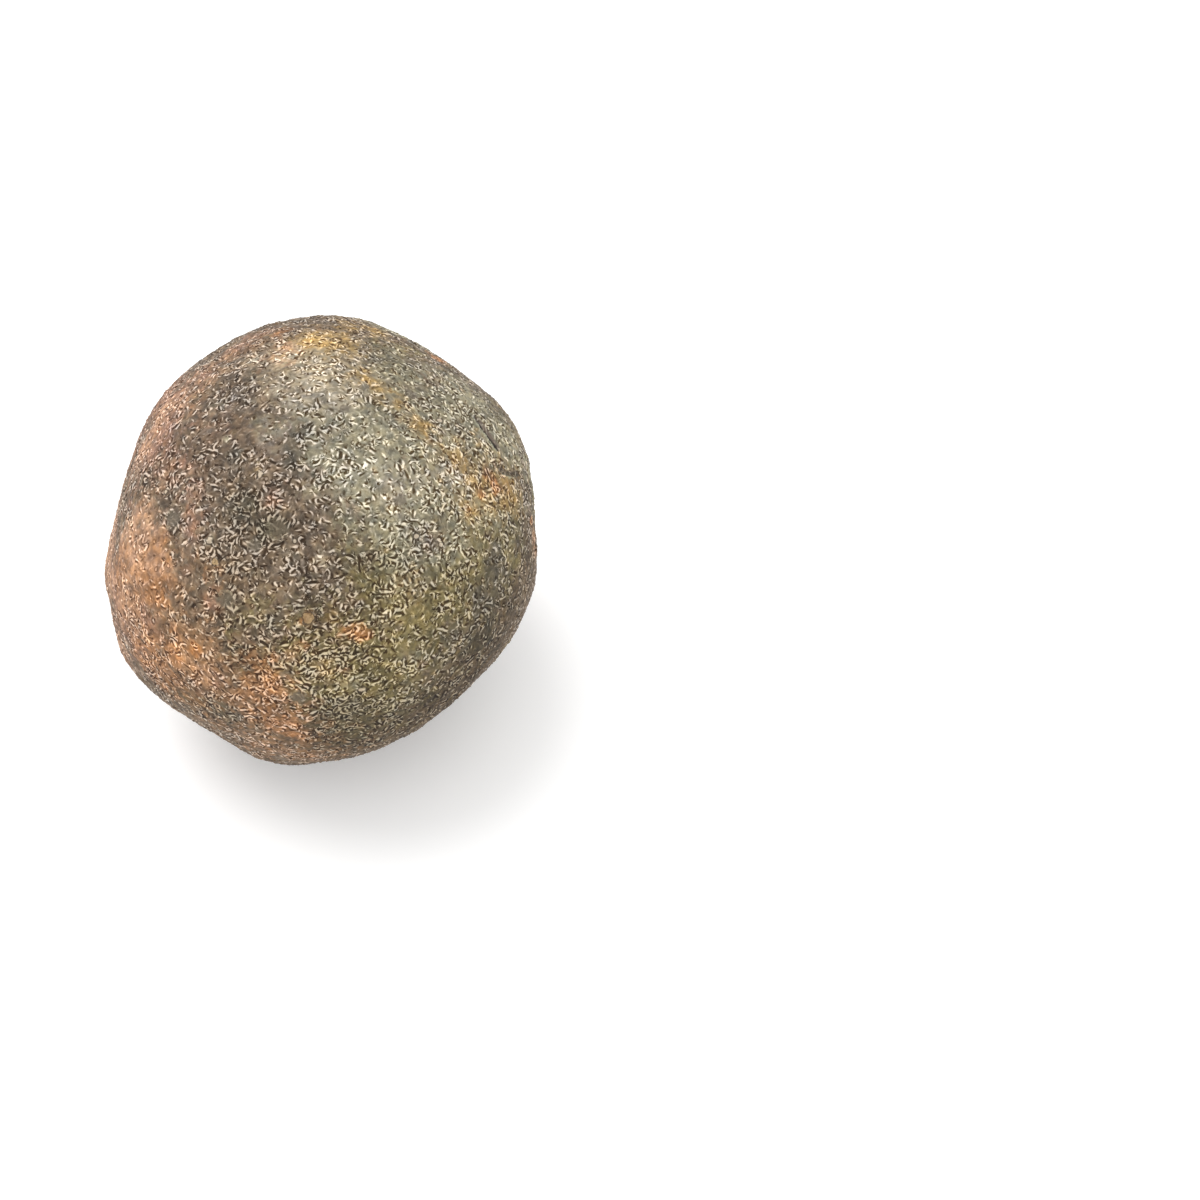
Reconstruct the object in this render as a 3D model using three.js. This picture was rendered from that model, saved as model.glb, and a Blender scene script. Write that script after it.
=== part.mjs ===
// Moqui marble: a rounded sandstone concretion with an iron-oxide rind, one solid stone.
//
// Millimetres, +Z up. The stone rests on a small natural flat spot. The origin is on the plane of
// that spot, under the middle of the stone's outline, so the stone stands on z = 0.
//
// The shape is a ball that is slightly longer along Y, worn to soft facets, with low swellings and
// shallow hollows all over. It is described by how far the surface lies from the stone's heart in
// each direction.

import * as THREE from "three";
import { mergeVertices } from "three/addons/utils/BufferGeometryUtils.js";

// ---- Driving dimensions, mm ----------------------------------------------------------------
const HALF_WIDTH = 18.72; // along X, before facets and lumps
const HALF_LENGTH = 19.45; // along Y
const HALF_HEIGHT = 18.35; // along Z
const HEART_HEIGHT = 17.55; // from the resting plane up to the stone's heart
const FACET_SHARPNESS = 18; // higher makes the edges between facets tighter
const EDGE_PARTS = 16; // each edge of the starting icosahedron is cut in this many

// ---- Worn facets: outward direction from the heart, and the distance of the facet's plane, mm --
const FACETS = [
  { name: "left flank", dir: [-0.94, 0.083, 0.331], at: 17.51 },
  { name: "upper left", dir: [-0.611, 0.433, 0.663], at: 19.26 },
  { name: "upper right", dir: [0.579, 0.578, 0.575], at: 20.11 },
  { name: "lower left chamfer", dir: [-0.489, -0.746, -0.453], at: 20.69 },
  { name: "lower right", dir: [0.651, -0.462, -0.602], at: 17.74 },
  { name: "right side", dir: [0.947, 0.261, -0.185], at: 18.95 },
  { name: "back", dir: [0.12, 0.95, -0.28], at: 19.25 },
  { name: "under the back left", dir: [-0.55, 0.5, -0.67], at: 18.6 },
];

// ---- Swellings (+) and hollows (-): direction, angular spread in degrees, height in mm --------
const LUMPS = [
  // round the stone, as seen from the front and above
  { name: "point on the left", dir: [-0.982, -0.188, 0.024], spread: 5, height: 0.18 },
  { name: "low left corner", dir: [-0.889, -0.388, -0.242], spread: 8, height: 0.39 },
  { name: "corner above the chamfer", dir: [-0.766, -0.571, -0.295], spread: 7, height: 0.39 },
  { name: "corner below the chamfer", dir: [-0.19, -0.772, -0.606], spread: 9, height: 0.5 },
  { name: "top of the dome", dir: [0.104, 0.777, 0.621], spread: 11, height: 0.31 },
  { name: "right shoulder", dir: [0.873, 0.411, 0.263], spread: 12, height: 0.71 },
  { name: "dent low on the right", dir: [0.556, -0.605, -0.57], spread: 6, height: -0.16 },
  { name: "right belly", dir: [0.979, -0.069, -0.19], spread: 9, height: 0.3 },
  { name: "notch on the left", dir: [-0.946, -0.302, -0.119], spread: 4, height: -0.55 },
  { name: "dip in the chamfer", dir: [-0.436, -0.725, -0.534], spread: 6, height: -0.13 },
  { name: "hollow under the front", dir: [0.224, -0.739, -0.635], spread: 8, height: -0.72 },
  { name: "swelling above the right", dir: [0.373, 0.742, 0.557], spread: 8, height: 0.11 },
  { name: "swelling under the right", dir: [0.784, -0.424, -0.454], spread: 9, height: 0.22 },
  // on the upper face and the front
  { name: "broad hollow left of the middle", dir: [-0.24, -0.49, 0.84], spread: 13, height: -0.25 },
  { name: "swelling right of the middle", dir: [0.46, -0.3, 0.84], spread: 12, height: 0.2 },
  { name: "crown", dir: [0.07, 0.0, 1.0], spread: 10, height: 0.15 },
  { name: "dip in the front", dir: [0.16, -0.8, 0.58], spread: 8, height: -0.12 },
  { name: "swelling on the front left", dir: [-0.46, -0.76, 0.46], spread: 10, height: 0.2 },
  { name: "dip on the front right", dir: [0.66, -0.54, 0.53], spread: 9, height: -0.15 },
  { name: "swelling low on the front", dir: [0.0, -0.98, 0.21], spread: 9, height: 0.15 },
  { name: "dip on the upper left", dir: [-0.38, -0.02, 0.92], spread: 8, height: -0.12 },
  { name: "dip on the upper right", dir: [0.52, 0.22, 0.82], spread: 9, height: -0.15 },
  // behind and underneath
  { name: "back left swelling", dir: [-0.62, 0.74, -0.05], spread: 13, height: 0.3 },
  { name: "back hollow", dir: [0.05, 0.98, -0.15], spread: 12, height: -0.35 },
  { name: "back right swelling", dir: [0.63, 0.72, -0.12], spread: 12, height: 0.25 },
  { name: "low back swelling", dir: [0.2, 0.78, -0.58], spread: 10, height: 0.2 },
  { name: "hollow under the back", dir: [-0.2, 0.72, -0.66], spread: 10, height: -0.3 },
  { name: "left back dip", dir: [-0.93, 0.34, -0.12], spread: 9, height: -0.2 },
  { name: "right back dip", dir: [0.9, 0.43, -0.02], spread: 8, height: -0.18 },
  { name: "swelling under the left", dir: [-0.66, 0.1, -0.74], spread: 12, height: 0.25 },
  { name: "hollow under the right back", dir: [0.62, 0.28, -0.72], spread: 11, height: -0.3 },
];

const unit = ([x, y, z]) => new THREE.Vector3(x, y, z).normalize();
const facets = FACETS.map((f) => ({ dir: unit(f.dir), at: f.at }));
const lumps = LUMPS.map((l) => ({
  dir: unit(l.dir),
  tightness: 1 / THREE.MathUtils.degToRad(l.spread) ** 2,
  height: l.height,
}));

// Distance from the heart to the surface along the unit vector d, mm. The ellipsoid and the facet
// planes are blended as a soft smallest-of, and the lumps are added on top.
function surfaceRadius(d) {
  const ball = Math.hypot(d.x / HALF_WIDTH, d.y / HALF_LENGTH, d.z / HALF_HEIGHT);
  let sum = ball ** FACET_SHARPNESS;
  for (const f of facets) sum += (Math.max(d.dot(f.dir), 0) / f.at) ** FACET_SHARPNESS;
  let r = sum ** (-1 / FACET_SHARPNESS);
  for (const l of lumps) r += l.height * Math.exp(l.tightness * (d.dot(l.dir) - 1));
  return r;
}

// Whatever would reach below the resting plane is pressed flat onto it, which makes the flat spot.
function surfacePoint(d) {
  const r = surfaceRadius(d);
  const toPlane = d.z < 0 ? HEART_HEIGHT / -d.z : Infinity;
  return d.clone().multiplyScalar(Math.min(r, toPlane));
}

function makeStone() {
  const ball = new THREE.IcosahedronGeometry(1, EDGE_PARTS - 1);
  ball.deleteAttribute("normal");
  ball.deleteAttribute("uv");
  const stone = mergeVertices(ball, 1e-5);
  const at = stone.getAttribute("position");
  for (let i = 0; i < at.count; i++) {
    const p = surfacePoint(new THREE.Vector3().fromBufferAttribute(at, i).normalize());
    at.setXYZ(i, p.x, p.y, p.z);
  }
  stone.computeBoundingBox();
  const box = stone.boundingBox;
  stone.translate(-(box.min.x + box.max.x) / 2, -(box.min.y + box.max.y) / 2, 0);
  stone.computeVertexNormals();
  return stone;
}

const rind = new THREE.MeshStandardMaterial({ color: 0x8b7b68, roughness: 0.85, metalness: 0 });

const stone = new THREE.Mesh(makeStone(), rind);
stone.name = "moqui_marble";
stone.position.set(0, 0, HEART_HEIGHT);

const marble = new THREE.Group();
marble.name = "marble";
marble.add(stone);

export default marble;
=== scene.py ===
"""The look of a moqui marble: one gritty, round concretion of iron-cemented sandstone on a plain pale floor.

The stone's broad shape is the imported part's own, repeated here as a formula. On it sit about thirty
thousand sand grains, each a small dome of its own in one closed mesh, with mottling, pits, a crease and
stained patches. Everything is in metres in the part's own frame; lengths written in mm say so.
"""

import math

import bpy
import numpy as np
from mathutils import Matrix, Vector
from mathutils.geometry import delaunay_2d_cdt


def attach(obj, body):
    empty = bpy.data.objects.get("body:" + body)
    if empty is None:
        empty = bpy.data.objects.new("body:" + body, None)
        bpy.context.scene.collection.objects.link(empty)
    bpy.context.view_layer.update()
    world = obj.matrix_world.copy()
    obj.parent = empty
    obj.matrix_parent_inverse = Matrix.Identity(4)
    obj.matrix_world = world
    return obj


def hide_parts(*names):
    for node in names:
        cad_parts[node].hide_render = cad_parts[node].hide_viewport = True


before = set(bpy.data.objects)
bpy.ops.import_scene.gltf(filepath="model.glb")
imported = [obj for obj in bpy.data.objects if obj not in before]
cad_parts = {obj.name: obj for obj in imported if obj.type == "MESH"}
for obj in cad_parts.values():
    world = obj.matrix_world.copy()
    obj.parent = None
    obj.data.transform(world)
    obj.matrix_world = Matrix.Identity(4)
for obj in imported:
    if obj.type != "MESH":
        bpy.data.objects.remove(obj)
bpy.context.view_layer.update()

MM = 0.001
SEED = 53

# ---------------------------------------------------------------------------------------------
# Broad shape, mm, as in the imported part: distance from the stone's heart along a direction
# ---------------------------------------------------------------------------------------------
HEART = np.array([-0.2035, 0.2867, 17.55])  # the heart in the part's frame
HALF = np.array([18.72, 19.45, 18.35])
SHARPNESS = 18
FACETS = [
    ((-0.94, 0.083, 0.331), 17.51),
    ((-0.611, 0.433, 0.663), 19.26),
    ((0.579, 0.578, 0.575), 20.11),
    ((-0.489, -0.746, -0.453), 20.69),
    ((0.651, -0.462, -0.602), 17.74),
    ((0.947, 0.261, -0.185), 18.95),
    ((0.12, 0.95, -0.28), 19.25),
    ((-0.55, 0.5, -0.67), 18.6),
]
LUMPS = [
    ((-0.982, -0.188, 0.024), 5, 0.18),
    ((-0.889, -0.388, -0.242), 8, 0.39),
    ((-0.766, -0.571, -0.295), 7, 0.39),
    ((-0.19, -0.772, -0.606), 9, 0.5),
    ((0.104, 0.777, 0.621), 11, 0.31),
    ((0.873, 0.411, 0.263), 12, 0.71),
    ((0.556, -0.605, -0.57), 6, -0.16),
    ((0.979, -0.069, -0.19), 9, 0.3),
    ((-0.946, -0.302, -0.119), 4, -0.55),
    ((-0.436, -0.725, -0.534), 6, -0.13),
    ((0.224, -0.739, -0.635), 8, -0.72),
    ((0.373, 0.742, 0.557), 8, 0.11),
    ((0.784, -0.424, -0.454), 9, 0.22),
    ((-0.24, -0.49, 0.84), 13, -0.25),
    ((0.46, -0.3, 0.84), 12, 0.2),
    ((0.07, 0.0, 1.0), 10, 0.15),
    ((0.16, -0.8, 0.58), 8, -0.12),
    ((-0.46, -0.76, 0.46), 10, 0.2),
    ((0.66, -0.54, 0.53), 9, -0.15),
    ((0.0, -0.98, 0.21), 9, 0.15),
    ((-0.38, -0.02, 0.92), 8, -0.12),
    ((0.52, 0.22, 0.82), 9, -0.15),
    ((-0.62, 0.74, -0.05), 13, 0.3),
    ((0.05, 0.98, -0.15), 12, -0.35),
    ((0.63, 0.72, -0.12), 12, 0.25),
    ((0.2, 0.78, -0.58), 10, 0.2),
    ((-0.2, 0.72, -0.66), 10, -0.3),
    ((-0.93, 0.34, -0.12), 9, -0.2),
    ((0.9, 0.43, -0.02), 8, -0.18),
    ((-0.66, 0.1, -0.74), 12, 0.25),
    ((0.62, 0.28, -0.72), 11, -0.3),
]


def unit(v):
    v = np.asarray(v, float)
    return v / np.linalg.norm(v, axis=-1, keepdims=True)


def bell(directions, centre, spread):
    """1 at centre, falling off over spread degrees of arc."""
    return np.exp((directions @ unit(centre) - 1) / math.radians(spread) ** 2)


def broad_radius(d):
    total = np.sqrt(((d / HALF) ** 2).sum(1)) ** SHARPNESS
    for normal, at in FACETS:
        total += (np.maximum(d @ unit(normal), 0) / at) ** SHARPNESS
    r = total ** (-1 / SHARPNESS)
    for centre, spread, height in LUMPS:
        r += height * bell(d, centre, spread)
    return r


# ---------------------------------------------------------------------------------------------
# Noise
# ---------------------------------------------------------------------------------------------
class Noise:
    """Smooth gradient noise in space, about -1 to 1, with features about one unit across."""

    def __init__(self, seed):
        rng = np.random.default_rng(seed)
        self.perm = np.tile(rng.permutation(256), 2)
        self.grad = unit(rng.normal(size=(256, 3)))
        self.offset = rng.uniform(0, 200, 3)

    def __call__(self, p):
        p = p + self.offset
        cell = np.floor(p).astype(int)
        f = p - cell
        w = f * f * f * (f * (f * 6 - 15) + 10)
        out = np.zeros(len(p))
        for dx in (0, 1):
            for dy in (0, 1):
                for dz in (0, 1):
                    ix, iy, iz = (cell[:, k] + s & 255 for k, s in enumerate((dx, dy, dz)))
                    g = self.grad[self.perm[self.perm[self.perm[ix] + iy] + iz]]
                    dot = ((f - (dx, dy, dz)) * g).sum(1)
                    part = np.where(dx, w[:, 0], 1 - w[:, 0])
                    part = part * np.where(dy, w[:, 1], 1 - w[:, 1])
                    part = part * np.where(dz, w[:, 2], 1 - w[:, 2])
                    out += part * dot
        return out * 1.6

    def layered(self, p, layers, gain=0.5):
        total, size, amount = 0.0, 1.0, 1.0
        for _ in range(layers):
            total = total + amount * self(p * size)
            size, amount = size * 2.03, amount * gain
        return total


def smooth(low, high, x):
    t = np.clip((x - low) / (high - low), 0, 1)
    return t * t * (3 - 2 * t)


# ---------------------------------------------------------------------------------------------
# Grains: points spread over a ball, and the net of cells between them
# ---------------------------------------------------------------------------------------------
GRAINS = 33000


def net(points):
    """The triangles between neighbouring points on the unit ball, seen from outside anticlockwise. points[0] is straight down."""
    flat = points[1:, :2] / (1 + points[1:, 2:3])
    made = delaunay_2d_cdt([Vector(p) for p in flat.tolist()], [], [], 0, 1e-10)
    home = np.array([o[0] for o in made[3]]) + 1
    tris = home[np.array(made[2])]
    a, b, c = flat[tris[:, 0] - 1], flat[tris[:, 1] - 1], flat[tris[:, 2] - 1]
    turn = (b[:, 0] - a[:, 0]) * (c[:, 1] - a[:, 1]) - (b[:, 1] - a[:, 1]) * (c[:, 0] - a[:, 0])
    tris[turn < 0] = tris[turn < 0][:, ::-1]
    one_way = np.concatenate([tris[:, [0, 1]], tris[:, [1, 2]], tris[:, [2, 0]]])
    key = one_way[:, 0] * len(points) + one_way[:, 1]
    back = one_way[:, 1] * len(points) + one_way[:, 0]
    rim = one_way[~np.isin(key, back)]
    cap = np.c_[rim[:, 1], rim[:, 0], np.zeros(len(rim), int)]
    return np.concatenate([tris, cap])


def spread_points(count, rounds):
    rng = np.random.default_rng(SEED)
    p = unit(rng.normal(size=(count, 3)))
    p[0] = (0, 0, -1)
    for _ in range(rounds):
        t = net(p)
        centre = unit(p[t].sum(1))
        area = np.linalg.norm(np.cross(p[t[:, 1]] - p[t[:, 0]], p[t[:, 2]] - p[t[:, 0]]), axis=1)
        total, weight = np.zeros_like(p), np.zeros(count)
        for k in range(3):
            np.add.at(total, t[:, k], centre * area[:, None])
            np.add.at(weight, t[:, k], area)
        p = unit(total)
        p[0] = (0, 0, -1)
    return p


peaks = spread_points(GRAINS, 2)
cells = net(peaks)
n_peaks, n_valleys = len(peaks), len(cells)
valleys = unit(peaks[cells].sum(1))
PITCH = 0.4 / 19  # from one grain to the next, as an angle in radians

# each neighbour pair i-j has a triangle on its left and one on its right
pair = np.concatenate([cells[:, [0, 1]], cells[:, [1, 2]], cells[:, [2, 0]]])
owner = np.tile(np.arange(n_valleys), 3)
key = pair[:, 0] * n_peaks + pair[:, 1]
order = np.argsort(key)
match = order[np.searchsorted(key[order], pair[:, 1] * n_peaks + pair[:, 0])]
once = pair[:, 0] < pair[:, 1]
i, j = pair[once, 0], pair[once, 1]
left, right = owner[once] + n_peaks, owner[match[once]] + n_peaks
faces = np.concatenate([np.c_[i, right, left], np.c_[j, left, right]])
owner_of_face = np.concatenate([i, j])

# many neighbours are cemented in twos and threes, so that grains are long, bent or lumpy
rng = np.random.default_rng(SEED + 2)
family = list(range(n_peaks))
members = {}
for k in rng.permutation(len(i))[: int(0.45 * len(i))]:
    a, b = family[i[k]], family[j[k]]
    if a == b:
        continue
    kin = members.get(a, [a]) + members.get(b, [b])
    if len(kin) <= 3:
        members[a] = kin
        for m in kin:
            family[m] = a
family = np.array(family)
cemented = family[i] == family[j]

# ---------------------------------------------------------------------------------------------
# Relief, mm
# ---------------------------------------------------------------------------------------------
off = rng.normal(size=(n_peaks, 3)) * 0.13 * PITCH  # a grain's top is off its middle, so one side is steeper
directions = np.concatenate([unit(peaks + off), valleys])
radius = broad_radius(directions)
ball = directions * radius[:, None]  # mm from the heart

swell, knob, patch, busy_noise, bend = (Noise(n) for n in (11, 12, 13, 14, 15))
relief = 0.10 * swell.layered(ball / 5.5, 2) + 0.06 * knob.layered(ball / 1.9, 2)

# pits left where grains or soft spots fell out
for _ in range(90):
    centre = unit(rng.normal(size=3))
    width = rng.uniform(0.5, 1.3)
    relief -= rng.uniform(0.05, 0.16) * bell(directions, centre, math.degrees(width * 0.5 / 19))

# one fine crease high on the right, with a low lip along its near side, and a short bent one below it
CREASE = [(0.714, 0.196, 0.672), (0.74, 0.168, 0.652), (0.761, 0.15, 0.631), (0.78, 0.122, 0.614), (0.796, 0.104, 0.596), (0.815, 0.082, 0.573), (0.829, 0.07, 0.555), (0.837, 0.058, 0.544)]
SHORT_CREASE = [(0.842, 0.003, 0.54), (0.858, -0.021, 0.513), (0.877, -0.011, 0.481), (0.898, 0.015, 0.44), (0.922, 0.081, 0.379)]


def trace(line):
    """For each point: mm from the line, mm across it (+ towards its left), mm along it; and its length."""
    line = unit(line)
    gap = np.full(len(directions), 9.0)
    side, at, length = np.zeros(len(directions)), np.zeros(len(directions)), 0.0
    for start, end in zip(line[:-1], line[1:]):
        run = end - start
        t = np.clip((directions - start) @ run / (run @ run), 0, 1)
        away = (directions - start - t[:, None] * run) * 19
        far = np.linalg.norm(away, axis=1)
        nearer = far < gap
        gap[nearer] = far[nearer]
        side[nearer] = (away @ unit(np.cross(run, start)))[nearer]
        at[nearer] = length + (t * np.linalg.norm(run) * 19)[nearer]
        length += np.linalg.norm(run) * 19
    return gap, side, at, length


crease_gap, crease_side, crease_at, crease_long = trace(CREASE)
crease_on = smooth(0, 1.6, crease_at) * (1 - smooth(crease_long - 0.4, crease_long, crease_at)) * (crease_gap < 1.6)
gap, side, at, long = trace(SHORT_CREASE)
near = (gap < 0.36) & (gap < crease_gap)
crease_side[near] = side[near]
crease_on[near] = (0.75 * smooth(0, 0.5, at) * (1 - smooth(long - 0.5, long, at)))[near]
relief += crease_on * (0.07 * np.exp(-(((crease_side - 0.4) / 0.3) ** 2)) - 0.12 * np.exp(-((crease_side / 0.24) ** 2)))

# single grains that stand clear and bare shallow hollows, as (direction, radius in mm)
CLEAR = [
    ((0.049, -0.849, 0.526), 0.46), ((0.596, -0.089, 0.798), 0.22), ((0.595, 0.027, 0.804), 0.22), ((-0.505, -0.370, 0.780), 0.22),
    ((-0.591, -0.332, 0.735), 0.2), ((-0.160, -0.377, 0.912), 0.28), ((-0.494, -0.323, 0.807), 0.24), ((-0.375, -0.587, 0.717), 0.3),
    ((0.503, -0.534, 0.679), 0.25), ((0.172, -0.772, 0.612), 0.24), ((-0.345, -0.663, 0.664), 0.34), ((0.603, -0.521, 0.604), 0.2),
    ((-0.001, -0.636, 0.771), 0.2), ((0.251, -0.951, 0.180), 0.28), ((0.015, -0.371, 0.929), 0.2),
]
BARE = [
    ((0.473, 0.132, 0.871), 0.6), ((-0.074, -0.591, 0.803), 0.78), ((-0.012, -0.984, 0.178), 0.65), ((-0.177, -0.643, 0.745), 0.52),
    ((0.189, -0.063, 0.980), 0.52), ((0.433, -0.429, 0.793), 0.6), ((-0.299, -0.776, 0.555), 0.69), ((-0.549, -0.460, 0.698), 0.69),
]
pick = np.random.default_rng(SEED + 5)
for spots, count, sizes in ((CLEAR, 16, (0.2, 0.42)), (BARE, 9, (0.5, 0.8))):
    while count:
        centre = unit(pick.normal(size=3))
        if centre @ (0, -0.62, 0.79) < 0.1:  # more of them on the far side
            spots.append((tuple(centre), pick.uniform(*sizes)))
            count -= 1
for spots, rise in ((CLEAR, 0.05), (BARE, -0.05)):
    for centre, size in spots:
        relief += rise * (1 - smooth(0.5, 1.2, np.linalg.norm(directions - unit(centre), axis=1) * 19 / size))

# how rough the grains stand out: less on the rubbed flanks
rough = np.clip(0.9 + 0.4 * patch.layered(ball / 2.6, 2), 0.4, 1.3)
rough *= 1 - 0.45 * bell(directions, (-0.88, -0.42, 0.2), 22)

height = rng.normal(0, 0.034, n_peaks).clip(-0.08, 0.08)[family] + rng.normal(0, 0.012, n_peaks)
deep = 0.085 * rng.uniform(0.35, 1.4, n_valleys)
soft = np.zeros(n_valleys)  # a valley between two cemented cells is shallow
np.maximum.at(soft, left[cemented] - n_peaks, 1)
np.maximum.at(soft, right[cemented] - n_peaks, 1)
deep *= 1 - 0.35 * soft
relief += np.concatenate([height, height[cells].mean(1) - deep]) * rough

surface = HEART + directions * (radius + relief - 0.03)[:, None]
lowest = np.concatenate([np.zeros(n_peaks), 0.6 * deep])
pressed = surface[:, 2] < lowest
surface[pressed, 2] = lowest[pressed]

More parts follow.
